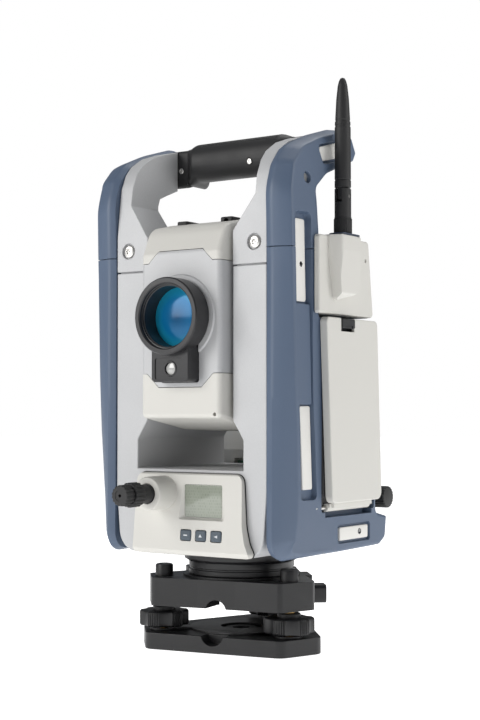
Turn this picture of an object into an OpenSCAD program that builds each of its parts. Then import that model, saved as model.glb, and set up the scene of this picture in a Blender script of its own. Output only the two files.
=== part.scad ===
// Robotic surveying total station on a tribrach, an assembly of separate named sub-parts.
// Units are millimetres. The origin is the centre of the tribrach's base plate, at its underside.
// +Z is up along the vertical axis. The objective looks along -Y, and +X is its battery side.

/* [Instrument axes] */
// Height of the telescope's tilting axis above the base plate's underside
trunnion_z = 247.4; // [240:0.2:250]
// Radius of the telescope's two trunnion axles
trunnion_r = 12; // [9:0.5:14]
// Radius of the vertical axis shaft
shaft_r = 14; // [10:0.5:18]
// Turn of the tribrach below the instrument, in degrees
tribrach_turn = 10.25; // [0:0.25:20]

/* [Yoke] */
// Half of the distance between the yoke's inner faces
yoke_in = 39.1; // [39:0.1:41]
// Half of the width over the yoke's outer faces
yoke_out = 68.4; // [66:0.2:70]
// Front face of the yoke
yoke_front = -68.5; // [-70:0.5:-67]
// Rear face of the two standards
yoke_rear = 45; // [42:1:48]
// Floor of the opening below the telescope
yoke_floor = 136; // [134:0.5:136]
// Height at which the upper brackets sit on the yoke
yoke_top = 283.7; // [280:0.5:286]

/* [Covers] */
// Half of the width over the blue side covers
cover_out = 91; // [88:0.5:92]
// Height of the seam between lower and upper side covers
cover_split = 295.4; // [292:0.5:298]
// Outer face of the battery door
door_out = 97.5; // [95:0.5:100]

/* [Telescope] */
// Half width of the telescope's casing
scope_half_w = 36; // [34:0.5:36.5]
// Front face of the telescope's front plate
scope_front = -80; // [-82:0.5:-78]
// Outer radius of the lens hood
hood_r = 28.2; // [26:0.2:29]
// Radius of the clear aperture in the lens hood
aperture_r = 23.6; // [20:0.2:24]
// Front edge of the lens hood
hood_front = -98; // [-99:0.5:-94]

/* [Tribrach] */
// Distance of each levelling screw from the vertical axis
screw_circle_r = 59.7; // [56:0.5:62]
// Thickness of the base plate
plate_t = 12.5; // [10:0.5:13]
// Radius of the threaded hole for the tripod's fixing screw (tapping size of 5/8 inch 11)
tripod_hole_r = 6.75; // [6.7:0.05:7.9]
// Radius of a levelling screw's knob
knob_r = 18.9; // [16:0.3:19.2]

/* [Hidden] */

$fn = 48;
gap = 0.3;                    // play between parts of different bodies
fit = 0.05;                   // radial running clearance of a shaft in its bore
thin = 1;                     // margin by which a cutting tool overshoots a face

// Tribrach levels
dish_z = 54.4;                // top of the tribrach's dish, where the flange sits
body_z0 = 32;                 // underside of the tribrach body
body_z1 = 53;                 // top of the tribrach body
knob_z0 = 15.4;               // underside of the levelling knobs
knob_z1 = 27;                 // top of the levelling knobs
flange_top = 72.6;            // top of the fixed base flange
screw_angles = [210, 330, 90];
lock_angle = 30;              // direction of the lock knob, in the tribrach's own frame
level_angle = 150;            // direction of the circular level

// Alidade levels
base_z = 73.2;                // underside of the yoke's base
cavity_r = 38;                // round cavity in the yoke's base
cavity_z = 124;               // ceiling of that cavity
bearing_r = 20;               // outer radius of the trunnion bearings
bracket_z = 284.7;            // underside of the upper brackets
grip_z = 375.3;               // centre line of the carrying handle
grip_r = 15;                  // radius of the carrying handle's grip
cover_in = yoke_out + 0.5;    // inner face of the side covers, leaving the gasket's gap
antenna_pos = [97.6, -11];    // centre of the antenna's foot in X and Y
antenna_z = 308.6;            // seat of the antenna's collar
elbow_z = 336;                // height of the antenna's folding pivot
door_hinge = [88, 108.6];     // X and Z of the battery door's hinge line
door_z0 = 112;                // lower edge of the battery door
plummet_pos = [-20, 118.6];   // X and Z of the optical plummet
panel_top = 133.4;            // top edge of the front display panel
key_pos = [2.5, 15.9, 29.5];   // X of the three front keys
rear_y = 62.4;                // front face of the rear control housing
knob_pos = [78, 111.5];        // Y and Z of the two motion knobs' axis

blue = [0.27, 0.36, 0.48];
silver = [0.80, 0.81, 0.83];
grey = [0.78, 0.77, 0.74];
black = [0.09, 0.09, 0.10];
dark = [0.22, 0.22, 0.23];

// ---------- shape helpers ----------

// Unit vector of a
function unit(a) = a / norm(a);

// Points of the arc of radius r that rounds the corner p between a and b
function corner(a, p, b, r, n) =
    let(u = unit(a - p), v = unit(b - p), half = acos(u * v) / 2)
    let(c = p + unit(u + v) * r / sin(half))
    let(s = p + u * r / tan(half) - c, e = p + v * r / tan(half) - c)
    let(a0 = atan2(s.y, s.x), turn = atan2(e.y, e.x) - a0)
    let(d = turn > 180 ? turn - 360 : turn < -180 ? turn + 360 : turn)
    [for (i = [0:n]) c + r * [cos(a0 + d * i / n), sin(a0 + d * i / n)]];

// Closed outline p with every corner rounded; a point is [x, y] or [x, y, own radius]
function rounded(p, r, n = 4) = [for (i = [0:len(p) - 1])
    let(q = p[i], a = p[(i + len(p) - 1) % len(p)], b = p[(i + 1) % len(p)])
    let(own = len(q) > 2 ? q[2] : r)
    each own > 0 ? corner([a.x, a.y], [q.x, q.y], [b.x, b.y], own, n) : [[q.x, q.y]]];

// Outline in Y and Z, extruded along X from x0 to x1
module along_x(x0, x1, outline) {
    translate([x0, 0, 0]) rotate([90, 0, 90]) linear_extrude(x1 - x0) polygon(outline);
}

// Outline in X and Z, extruded along Y from y0 to y1
module along_y(y0, y1, outline) {
    translate([0, y1, 0]) rotate([90, 0, 0]) linear_extrude(y1 - y0) polygon(outline);
}

// Outline in X and Y, extruded along Z from z0 to z1
module along_z(z0, z1, outline) {
    translate([0, 0, z0]) linear_extrude(z1 - z0) polygon(outline);
}

// Box between two opposite corners
module box(a, b) {
    translate(a) cube(b - a);
}

// Rod of radius r along X, Y or Z, starting at p
module rod_x(p, length, r) {
    translate(p) rotate([0, 90, 0]) cylinder(h = length, r = r);
}

module rod_y(p, length, r) {
    translate(p) rotate([-90, 0, 0]) cylinder(h = length, r = r);
}

module rod_z(p, length, r) {
    translate(p) cylinder(h = length, r = r);
}

// Rectangle outline between two corners, with rounded corners
function slab(x0, z0, x1, z1, r) = rounded([[x0, z0], [x1, z0], [x1, z1], [x0, z1]], r);

// ---------- tribrach ----------

// Children at the tribrach's turn, at radius r and angle a
module on_tribrach(r = 0, a = 0) {
    rotate([0, 0, tribrach_turn + a]) translate([r, 0, 0]) children();
}

// Outline of the base plate: three blunt corners joined by sides that bulge slightly
function plate_outline() = rounded([for (a = screw_angles) each
    [[77 * cos(a - 14), 77 * sin(a - 14)], [77 * cos(a + 14), 77 * sin(a + 14)],
     [54 * cos(a + 60), 54 * sin(a + 60)]]], 9, 5);

module base_plate() {
    color(black) on_tribrach() difference() {
        along_z(0, plate_t, plate_outline());
        rod_z([0, 0, -thin], plate_t + 2 * thin, tripod_hole_r);
        // dished top around the central hub
        difference() {
            rod_z([0, 0, plate_t - 2], 2 + thin, 33);
            rod_z([0, 0, plate_t - 3], 4, 13);
        }
        // sockets for the feet of the levelling screws
        for (a = screw_angles) rotate([0, 0, a])
            rod_z([screw_circle_r, 0, 5.5], plate_t, 6.5);
        // finger notch in the front edge
        rotate([0, 0, 270]) translate([57, 0, plate_t + 2]) rotate([0, 90, 0])
            cylinder(h = 30, r = 9, center = true);
    }
}

module spring_plate() {
    // three-armed leaf that holds the feet of the levelling screws down
    color(dark) on_tribrach() difference() {
        union() {
            for (a = screw_angles) rotate([0, 0, a]) {
                box([30, -7, plate_t], [screw_circle_r, 7, plate_t + 1.2]);
                rod_z([screw_circle_r, 0, plate_t], 1.2, 11);
            }
            rod_z([0, 0, plate_t], 1.2, 40);
        }
        rod_z([0, 0, plate_t - thin], 4, 16);
        for (a = screw_angles) rotate([0, 0, a])
            rod_z([screw_circle_r, 0, plate_t - thin], 4, 4.6);
    }
}

module levelling_screw(a) {
    lobes = 6;
    color(black) on_tribrach(0, a) translate([screw_circle_r, 0, 0]) {
        difference() {
            union() {
                // lobed knob
                difference() {
                    rod_z([0, 0, knob_z0], knob_z1 - knob_z0, knob_r);
                    for (i = [0:lobes - 1]) rotate([0, 0, (i + 0.5) * 360 / lobes])
                        translate([knob_r + 4.6, 0, knob_z0 - thin])
                            cylinder(h = 16, r = 6.5);
                }
                // threaded stem up into the tribrach body, and ball foot
                rod_z([0, 0, knob_z1], 22, 4.5);
                rod_z([0, 0, 8.5], 7, 3.2);
                translate([0, 0, 10]) sphere(r = 4);
            }
            for (i = [0:lobes - 1], k = [-1:1]) rotate([0, 0, i * 60 + k * 6])
                translate([knob_r + 0.2, 0, knob_z0 - thin]) cylinder(h = 16, r = 0.7);
        }
    }
}

module levelling_screw_left() {
    levelling_screw(screw_angles[0]);
}

module levelling_screw_right() {
    levelling_screw(screw_angles[1]);
}

module levelling_screw_rear() {
    levelling_screw(screw_angles[2]);
}

module tribrach_body() {
    color(black) on_tribrach() difference() {
        union() {
            along_z(body_z0, body_z1, rounded([for (a = screw_angles) each
                [[72 * cos(a - 13), 72 * sin(a - 13), 5], [72 * cos(a + 13), 72 * sin(a + 13), 5],
                 [50 * cos(a + 42), 50 * sin(a + 42), 8], [50 * cos(a + 78), 50 * sin(a + 78), 8]]],
                5, 4));
            // raised rim of the dish, on which the flange rests
            rod_z([0, 0, body_z1 - 1], dish_z - body_z1 + 1, 45);
            // boss of the lock
            rotate([0, 0, lock_angle]) box([30, -13, body_z0], [53, 13, body_z1]);
        }
        // dish that receives the instrument's flange and its three studs
        rod_z([0, 0, body_z0 - thin], 40, 26);
        rod_z([0, 0, 46.2], 20, 34.6);
        for (a = screw_angles) rotate([0, 0, a]) rod_z([30, 0, 36], 20, 2.2);
        // threaded bores for the levelling screws
        for (a = screw_angles) rotate([0, 0, a])
            rod_z([screw_circle_r, 0, body_z0 - thin], 30, 4.5 + fit);
        // arch below the front side
        rotate([0, 0, 270]) translate([45, 0, body_z0 - 2]) rotate([0, 90, 0])
            cylinder(h = 40, r = 8.5, center = true);
        // bore of the lock's spindle
        rotate([0, 0, lock_angle]) rod_x([30, 0, 38], 30, 4 + fit);
    }
}

module screw_caps() {
    color(black) on_tribrach() for (a = screw_angles) rotate([0, 0, a])
        translate([screw_circle_r, 0, body_z1]) difference() {
            union() {
                cylinder(h = 8, r = 6.8);
                translate([0, 0, 8]) cylinder(h = 1.2, r1 = 6.8, r2 = 5.8);
            }
            translate([0, 0, -thin]) cylinder(h = 6, r = 5);
        }
}

module lock_knob() {
    color(black) on_tribrach(0, lock_angle) {
        rod_x([42.5, 0, 38], 11, 4);
        difference() {
            translate([53.4, 0, 38]) rotate([90, 0, 90])
                linear_extrude(11.5) polygon(slab(-9, -7, 9, 7, 3));
            rod_x([64, 0, 38], 2, 3);
        }
    }
}

module level_housing() {
    color(black) on_tribrach(0, level_angle) difference() {
        union() {
            box([47.7, -9, 40], [52, 9, body_z1 - 2]);
            rod_z([58, 0, 42], 13, 11);
        }
        rod_z([58, 0, 45], 12, 8.2);
        box([40, -20, 30], [47.7, 20, 70]);
    }
}

module level_vial() {
    color([0.75, 0.85, 0.35]) on_tribrach(0, level_angle) rod_z([58, 0, 45], 9, 8.1);
}

module base_flange() {
    color(black) rotate_extrude($fn = 96) polygon([[shaft_r, 62], [shaft_r, 46.5], [34, 46.5],
        [34, dish_z], [40.6, dish_z], [40.6, 58.4], [39.8, 59], [39.8, 59.8], [40.6, 60.4],
        [40.6, 64], [44.2, 66], [44.2, flange_top], [24, flange_top], [24, 62]]);
    // three locating studs
    color("silver") for (a = screw_angles) rotate([0, 0, a + tribrach_turn])
        rod_z([30, 0, 38], 8.5, 1.9);
}

module vertical_shaft() {
    color("silver") {
        rod_z([0, 0, 46.5], 15.5, shaft_r);
        rod_z([0, 0, 62], 58, shaft_r - 1);
    }
}

module horizontal_circle() {
    color([0.7, 0.8, 0.85]) translate([0, 0, 84]) difference() {
        cylinder(h = 4, r = 34);
        translate([0, 0, -thin]) cylinder(h = 6, r = shaft_r - 1);
    }
}

// ---------- yoke ----------

// Front outline of one standard, seen from the front, on the +X side
function standard_outline() = [[yoke_in, yoke_top], [yoke_in, 172], [48, 158], [48, yoke_floor - 6],
    [yoke_out, yoke_floor - 6], [yoke_out, yoke_top]];

module yoke_frame() {
    color(silver) difference() {
        union() {
            // base block with rounded lower corners
            along_y(yoke_front, rear_y - 0.2, rounded([[-68.4, yoke_floor, 0], [-68.4, 120, 4],
                [-64.5, base_z, 16], [64.5, base_z, 16], [68.4, 120, 4], [68.4, yoke_floor, 0]], 0, 6));
            for (s = [0, 1]) mirror([s, 0, 0]) {
                along_y(yoke_front, yoke_rear, standard_outline());
                // bearing housings behind the pillars
                box([yoke_in, -31.5, yoke_top - thin], [yoke_out, yoke_rear, 300]);
            }
        }
        // round cavity for the shaft, the circle and the drive
        rod_z([0, 0, base_z - thin], cavity_z - base_z + thin, cavity_r);
        // seats of the trunnion bearings, and the drive pockets outside them
        for (s = [0, 1]) mirror([s, 0, 0]) {
            rod_x([yoke_in - thin, 0, trunnion_z], 14, bearing_r);
            rod_x([50, 0, trunnion_z], 12, 30);
        }
    }
    // upper seat of the vertical shaft
    color(dark) difference() {
        rod_z([0, 0, 100], cavity_z - 100, cavity_r);
        rod_z([0, 0, 99], 30, shaft_r - 1 + fit);
    }
}

// Side outline of a pillar and the arm that carries the handle, in Y and Z
function bracket_outline(front, back) = [[front, bracket_z], [front, 312], [front + 2.2, 333],
    [front + 4.4, 349], [front + 9.5, 360.5], [front + 16, 368], [front + 29, 376],
    [front + 45.5, 381.5], [-7, 385.4], [-7, 354], [-20.4, 348.9], [-29.7, 344.9],
    [back, 339], [back, bracket_z]];

module upper_bracket() {
    // tongue that seats the bracket on the yoke, set back behind the seam
    color(silver) box([yoke_in + 2, yoke_front + 2, yoke_top], [yoke_out - 2, -34, bracket_z]);
    color(silver) intersection() {
        along_x(yoke_in, yoke_out, bracket_outline(yoke_front, -32));
        // the inner edge leans out above the telescope
        along_y(yoke_front - thin, 10, [[yoke_in, bracket_z], [yoke_in, 309.3], [57, 335.5],
            [57, 400], [yoke_out, 400], [yoke_out, bracket_z]]);
    }
}

module upper_bracket_right() {
    difference() {
        upper_bracket();
        column_screw_seat();
    }
}

module upper_bracket_left() {
    mirror([1, 0, 0]) upper_bracket_right();
}

module column_screw_seat() {
    rod_y([57.6, yoke_front - thin, 300.3], thin + 2.2, 6);
}

module handle_grip() {
    color(black) {
        difference() {
            rod_x([-48, 0, grip_z], 98, grip_r);
            // seat of the grip's screw
            rod_y([17, -20, 370], 6.1, 2.7);
        }
        // end blocks between the arms
        for (s = [-1, 1]) along_x(s > 0 ? 50 : -68, s > 0 ? 68 : -48,
            rounded([[-6.8, 355.5], [22, 364], [22, 384.5], [12, 388.5], [-6.8, 386]], 3));
    }
}

module casing_screws() {
    color("lightgray") {
        // button screws in the columns
        for (s = [-1, 1]) difference() {
            rod_y([s * 57.6, yoke_front - 0.3, 300.3], 2.5, 4.9);
            translate([s * 57.6, yoke_front - thin, 300.3]) rotate([-90, 0, 0])
                cylinder(h = 2, r = 2.2, $fn = 6);
        }
        // handle screws
        rod_y([-53.5, -7.6, 370], 0.8, 2.5);
        rod_y([17, -15.2, 370], 1.3, 2.5);
    }
}

// ---------- side covers ----------

// Plan outline of a blue cover in X and Y, from front to rear
function cover_plan(rear) = [[cover_in, yoke_front], [74.7, -71], [cover_out - 2, -66.2],
    [cover_out, -63], [cover_out, rear], [cover_in, rear]];

module lower_cover(hinged) {
    color(blue) difference() {
        intersection() {
            along_z(72, cover_split - 0.2, cover_plan(72));
            // side view: front band, bay surround and long foot
            along_x(cover_in, cover_out + thin, rounded([[-73, 72, 10], [56, 74, 8], [67, 80, 8],
                [70, 100, 3], [52, 103, 3], [50, 248.6, 2], [-30.5, 248.8, 0],
                [-30.5, cover_split - 0.2, 0], [-73, cover_split - 0.2, 0]], 0));
            // front view: bottom corner tucks in
            along_y(-75, 85, rounded([[cover_in - 6, 71], [84.5, 72, 5], [89.4, 76.5, 4],
                [cover_out, 88, 6], [cover_out, 300], [cover_in - 6, 300]], 0));
        }
        // battery bay
        along_x(cover_in - thin, cover_out + 2, slab(-29, 105, 46, 245, 2));
        if (hinged) {
            // pin hole of the door's hinge, and the trough in which its knuckle turns
            rod_y([door_hinge.x, -36, door_hinge.y], 86, 1.5);
            box([door_hinge.x - 4, -24, 101.5], [cover_out + thin, 42, 110]);
        }
        inlay_channels();
    }
}

// Channels in the front band that hold the light inlays
module inlay_channels() {
    along_x(cover_out - 5, cover_out + thin,
        rounded([[-54.5, 118], [-35.5, 118], [-42, 256], [-61.5, 256]], 3));
    along_x(cover_out - 5, cover_out + thin,
        rounded([[-61.8, 262], [-43.5, 262], [-45, 318], [-63.5, 318]], 3));
    along_x(cover_out - 3, cover_out + thin, slab(-12, 81.5, 40, 96.5, 4));
}

module lower_cover_right() {
    lower_cover(true);
}

module lower_cover_left() {
    mirror([1, 0, 0]) lower_cover(false);
}

module upper_cover() {
    // blue cap over the pillar and the arm
    color(blue) difference() {
        intersection() {
            along_z(cover_split, 395, cover_plan(30));
            along_x(cover_in, cover_out + thin, [[-73, cover_split], [-72.8, 331], [-71, 345],
                [-65, 358], [-52.4, 371.4], [-26.7, 381.5], [7.1, 391.6], [22, 388], [27, 372],
                [22, 366], [-5.7, 355.8], [-18.6, 350.4], [-28.6, 346], [-33.5, 339],
                [-30.5, 309], [-30.5, cover_split]]);
            // front view: outer top edge falls away
            along_y(-75, 35, [[cover_in, cover_split], [cover_out, cover_split], [cover_out, 383],
                [cover_out - 4, 393], [cover_in, 393]]);
        }
        inlay_channels();
        // window of the arm's inlay
        along_x(cover_out - 4, cover_out + thin,
            rounded([[-24.5, 358.8], [5, 366], [5, 382.5], [-31.5, 372.6]], 3));
        rod_x([cover_out - 2, -47, 346.5], 4, 4.3);
    }
}

module upper_cover_right() {
    upper_cover();
}

module upper_cover_left() {
    mirror([1, 0, 0]) upper_cover();
}

module cover_inlays() {
    color([0.84, 0.83, 0.81]) for (s = [0, 1]) mirror([s, 0, 0]) {
        // lower and upper inlays of the front band
        along_x(cover_out - 5, cover_out - 3.6,
            rounded([[-51, 122.6], [-38.1, 122.6], [-41.3, 182.4], [-54.9, 182.4]], 2));
        along_x(cover_out - 5, cover_out - 3.6,
            rounded([[-59.5, 264], [-46.8, 264], [-48.7, 315], [-60.9, 315]], 2));
        // foot inlay and arm inlay
        along_x(cover_out - 3, cover_out - 0.6, slab(-7, 83.5, 35.5, 94, 2));
        along_x(cover_out - 4, cover_out - 1.5,
            rounded([[-22.1, 361.8], [3, 368], [3, 380], [-28.1, 371.2]], 2));
    }
}

// ---------- radio, antenna and battery ----------

module radio_housing() {
    color(grey) difference() {
        union() {
            along_x(cover_in, cover_out + 0.2, rounded([[-30.2, 249.2], [37, 249.2], [30, 307],
                [-30.2, 307]], 1));
            // proud outer box, set forward over the blue band
            along_x(cover_out + 0.2, 95.5, rounded([[-41, 249.2], [38, 249.2], [31, 307],
                [-41, 306]], 3));
            // wedge that carries the antenna, tapering towards its foot
            intersection() {
                along_z(258, 307, rounded([[88, -29], [97, -29], [106, -25], [106, 1],
                    [97, 12], [88, 13]], 2));
                along_x(88, 107, [[-31, 307], [13, 307], [11, 300], [3, 266], [-22, 259],
                    [-30, 300]]);
                along_y(-32, 14, [[88, 258], [95.5, 258], [103.5, 264], [106, 296], [106, 307],
                    [88, 307]]);
            }
        }
        // socket for the antenna
        rod_z([antenna_pos.x, antenna_pos.y, 299], 20, 6.2);
        rod_x([90, 26, 292], 9, 1.2);
        // underside of the wedge stays clear of the blue band
        box([80, -60, 240], [cover_out + 0.2, -30.2, 320]);
    }
}

module antenna_socket() {
    color([0.15, 0.2, 0.28]) difference() {
        along_z(307, antenna_z, slab(antenna_pos.x - 6, antenna_pos.y - 12,
            antenna_pos.x + 7.6, antenna_pos.y + 14, 3));
        rod_z([antenna_pos.x, antenna_pos.y, 300], 20, 4);
    }
    color("gold") difference() {
        rod_z([antenna_pos.x, antenna_pos.y, 299], 12, 3.9);
        rod_z([antenna_pos.x, antenna_pos.y, 302], 12, 1.5 + fit);
    }
}

module antenna_collar() {
    color(black) translate([antenna_pos.x, antenna_pos.y, 0]) difference() {
        union() {
            rod_z([0, 0, antenna_z + gap], 11, 6.8);
            rod_z([0, 0, antenna_z + 11], elbow_z - antenna_z - 11, 6);
            rod_z([0, 0, 304], 6, 1.5);
            // fork of the folding pivot
            for (s = [-1, 1]) box([s * 4 - 1.8, -5, elbow_z - 4], [s * 4 + 1.8, 5, elbow_z]);
            for (s = [-1, 1]) rod_x([s * 4 - 1.8, 0, elbow_z], 3.6, 5);
        }
        difference() {
            rod_z([0, 0, 300], 11.6 , 4.3);
            rod_z([0, 0, 290], 30, 1.5);
        }
        rod_x([-8, 0, elbow_z], 16, 1.5 + fit);
        box([-2.2 - gap, -8, elbow_z - 6], [2.2 + gap, 8, elbow_z + 6]);
        for (i = [0:11]) rotate([0, 0, i * 30]) rod_z([7.1, 0, 300], 18, 0.6);
    }
}

module antenna_whip() {
    color(black) translate([antenna_pos.x, antenna_pos.y, 0]) {
        // tongue and pin of the pivot
        box([-2.2, -4.4, elbow_z], [2.2, 4.4, elbow_z + 6.2]);
        rod_x([-2.2, 0, elbow_z], 4.4, 4.4);
        rod_x([-5.6, 0, elbow_z], 11.2, 1.5);
        rotate_extrude() polygon([[0, elbow_z + 5.6], [5.8, elbow_z + 5.6], [5.8, 387.6],
            [5.5, 387.6], [5.5, 388.8], [5.8, 388.8], [5.7, 391.4], [5.3, 391.4], [5.3, 392.6],
            [5.5, 392.6], [4.7, 408], [3.6, 418], [2.8, 421.6], [1.6, 423.6], [0, 424.4]]);
    }
}

module battery_door() {
    color(grey) difference() {
        union() {
            // tray-shaped door: outer skin and rim
            difference() {
                along_x(cover_out + gap, door_out, rounded([[-26, door_z0, 5], [47, door_z0, 5],
                    [41, 247, 3], [-33.5, 247, 3]], 3));
                along_x(cover_out, door_out - 2.2, rounded([[-21, 116], [43, 116], [38, 243],
                    [-29, 243]], 3));
            }
            // hinge knuckle along the bottom edge
            rod_y([door_hinge.x, -22, door_hinge.y], 62, 3);
            box([door_hinge.x, -22, door_hinge.y], [cover_out + gap + thin, 40, door_hinge.y + 3]);
            box([cover_out + gap, -19, door_hinge.y], [cover_out + 3, 37, door_z0 + 4]);
        }
        rod_y([door_hinge.x, -40, door_hinge.y], 100, 1.5 + fit);
        // slot for the latch
        box([90, -13.5, 236.5], [110, 5.5, 250]);
    }
}

module door_hinge_pin() {
    color("silver") rod_y([door_hinge.x, -36, door_hinge.y], 86, 1.5);
}

module battery_latch() {
    color(black) difference() {
        box([cover_out + 1, -13.2 , 239.4], [door_out + 1.2, 5.2, 246.6]);
        box([door_out + 0.2, -10, 238], [door_out + 3, 2, 241.5]);
        // hollow behind the latch's face
        box([cover_out + 0.5, -11, 238], [cover_out + 3, 3, 244]);
    }
}

module battery_pack() {
    color(dark) difference() {
        along_x(cover_in + 0.4, cover_out - 1, slab(-27, 116, 44, 243, 4));
        along_x(cover_out - 2, cover_out + 1, slab(-15, 180, 32, 190, 3));
    }
}

// ---------- front panel ----------

module front_panel() {
    color(grey) difference() {
        union() {
            intersection() {
                along_x(-60, 61, rounded([[yoke_front, 73.6, 0], [-74.5, 73.6, 2], [-76.8, 77, 2],
                    [-75.5, 96, 0], [-72, panel_top, 1.5], [yoke_front, panel_top, 0]], 0));
                along_y(-90, -60, rounded([[-46.5, 73.6, 3], [60, 73.6, 2], [54.2, 84, 0],
                    [51.4, 96, 0], [49.5, panel_top, 6], [-45.5, panel_top, 6]], 0));
            }
            // boss of the optical plummet
            rod_y([plummet_pos.x, -93.5, plummet_pos.y], 93.5 + yoke_front, 12.5);
        }
        rod_y([plummet_pos.x, -95, plummet_pos.y], 24, 7);
        // window of the display
        along_y(-90, -71, slab(-1.1, 101.5, 32.4, 125.3, 1.5));
        along_y(-71.6, -69.5, slab(-4, 99.4, 35.4, 127.4, 1.5));
        // wells of the three keys
        for (x = key_pos) along_y(-90, -72, slab(x - 5.1, 84.1, x + 5.1, 92.7, 1.6));
        along_y(-73.4, -69.5, slab(-5, 82.5, 37, 94.5, 1));
    }
}

module display_window() {
    color([0.6, 0.65, 0.6, 0.5]) along_y(-72.7, -71.6, slab(-1, 101.6, 32.3, 125.2, 1.4));
}

module display_module() {
    color([0.5, 0.53, 0.48]) along_y(-71.5, -69.6, slab(-3, 100.4, 34.4, 126.4, 1));
}

module panel_key(x) {
    color([0.25, 0.31, 0.37]) {
        along_y(-76.4, -73, slab(x - 4.7, 84.5, x + 4.7, 92.3, 1.4));
        along_y(-73, -71.6, slab(x - 5.7, 83.2, x + 5.7, 93.8, 0.8));
    }
}

module key_left() {
    panel_key(key_pos[0]);
}

module key_middle() {
    panel_key(key_pos[1]);
}

module key_right() {
    panel_key(key_pos[2]);
}

module plummet_barrel() {
    color(black) difference() {
        union() {
            rod_y([plummet_pos.x, -104, plummet_pos.y], 30, 6.9);
            rod_y([plummet_pos.x, -121, plummet_pos.y], 20, 4);
        }
        rod_y([plummet_pos.x, -122, plummet_pos.y], 40, 2.5);
    }
}

module plummet_focus_ring() {
    color(black) translate([plummet_pos.x, 0, plummet_pos.y]) difference() {
        rod_y([0, -115, 0], 10.6, 9);
        rod_y([0, -116, 0], 13, 4 + fit);
        for (i = [0:23]) rotate([0, i * 15, 0]) rod_y([9.3, -116, 0], 13, 0.6);
    }
}

module plummet_eyepiece() {
    color(black) translate([plummet_pos.x, 0, plummet_pos.y]) difference() {
        translate([0, -115.3, 0]) rotate([90, 0, 0]) cylinder(h = 9.5, r1 = 7.6, r2 = 6.6);
        rod_y([0, -121.2, 0], 8, 4 + fit);
        rod_y([0, -126, 0], 8, 2.6);
    }
}

// ---------- left housing and rear controls ----------

module service_housing() {
    color(grey) mirror([1, 0, 0]) {
        along_x(cover_in, cover_out + 0.2, rounded([[-30.2, 249.2], [37, 249.2], [30, 307],
            [-30.2, 307]], 1));
        along_x(cover_in, cover_out + 0.2, slab(-28.5, 105.6, 45.5, 244.6, 2));
        along_x(cover_out + 0.2, 96, rounded([[-26, 110, 6], [47, 110, 6], [31, 307, 4],
            [-41, 306, 4]], 4));
    }
}

module control_panel() {
    color(grey) difference() {
        along_x(-66, 66, rounded([[rear_y, 76], [84, 76], [89, 82], [82.8, 166], [79.5, 171],
            [77, 169], [rear_y, 147]], 1.2));
        // space for the main board
        box([-50, rear_y - thin, 84], [50, rear_y + 6, 140]);
        // screen recess and key wells in the sloping face
        rear_face() {
            along_y(-2, 6, slab(-42, 10, 24, 52, 2));
            for (z = [14, 31, 48]) along_y(-16, 6, slab(31.7, z - 5.3, 46.3, z + 5.3, 2));
            for (z = [14, 31, 48]) along_y(-16, -9.4, slab(30.4, z - 6.6, 47.6, z + 6.6, 1));
        }
        for (s = [-1, 1]) rod_x([s * 66 - 8, knob_pos.x, knob_pos.y], 16, 4 + fit);
    }
}

// Frame of the sloping rear face: Y leaves the face and Z climbs it
module rear_face() {
    translate([0, 88.6, 87]) rotate([4.3, 0, 0]) translate([0, 0, -3]) children();
}

module control_screen() {
    color([0.1, 0.12, 0.14]) rear_face() along_y(-1.9, -0.9, slab(-41.8, 10.2, 23.8, 51.8, 1.8));
}

module rear_key(z) {
    color([0.25, 0.31, 0.37]) rear_face() {
        along_y(-10.4, 0.8, slab(32, z - 5, 46, z + 5, 1.8));
        along_y(-12, -10.4, slab(30.7, z - 6.3, 47.3, z + 6.3, 0.8));
    }
}

module power_key() {
    rear_key(14);
}

module menu_key() {
    rear_key(31);
}

module enter_key() {
    rear_key(48);
}

module motion_knob(s) {
    color(black) translate([0, knob_pos.x, knob_pos.y]) mirror([s < 0 ? 1 : 0, 0, 0]) difference() {
        union() {
            rod_x([66.4, 0, 0], 20, 8.5);
            rod_x([58.5, 0, 0], 8, 4);
        }
        for (i = [0:19]) rotate([i * 18, 0, 0]) rod_x([68, 0, 8.8], 20, 0.7);
    }
}

module horizontal_knob() {
    motion_knob(1);
}

module vertical_knob() {
    motion_knob(-1);
}

module main_board() {
    color([0.1, 0.35, 0.2]) {
        box([-48, rear_y + 2, 86], [48, rear_y + 3.6, 138]);
        box([-20, rear_y + 0.6, 100], [0, rear_y + 2, 120]);
        box([10, rear_y + 0.6, 96], [34, rear_y + 2, 110]);
    }
}

module trunnion_bearings() {
    color("silver") for (s = [0, 1]) mirror([s, 0, 0]) difference() {
        rod_x([yoke_in + 0.4, 0, trunnion_z], 10, bearing_r);
        rod_x([yoke_in - 2, 0, trunnion_z], 14, trunnion_r + fit);
    }
}

module drive_motors() {
    color([0.72, 0.45, 0.2]) for (s = [0, 1]) mirror([s, 0, 0]) difference() {
        rod_x([51, 0, trunnion_z], 10, 29.6);
        rod_x([50, 0, trunnion_z], 12, trunnion_r + 0.6);
    }
    color([0.72, 0.45, 0.2]) difference() {
        rod_z([0, 0, 90], 9.6, 37.8);
        rod_z([0, 0, 89], 12, shaft_r + 0.6);
    }
}

// ---------- telescope ----------

// Side outline of the telescope in Y and height above the tilting axis
function scope_outline() = [[scope_front, -73, 3], [scope_front, 48, 6], [-70, 68, 8], [-50, 72.5, 6],
    [52, 72.5, 6], [70, 60, 8], [75, 48, 6], [75, -48, 6], [62, -78, 6], [40, -84, 8], [-60, -84, 8]];

// Solid bounded by the side outline, shrunk by d at the sides, between two heights
module scope_slice(half_w, z0, z1) {
    translate([0, 0, trunnion_z]) intersection() {
        along_x(-half_w, half_w, rounded(scope_outline(), 6));
        box([-60, -100, z0], [60, 100, z1]);
        along_z(-100, 100, slab(-half_w, scope_front, half_w, 75, 7));
    }
}

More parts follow.
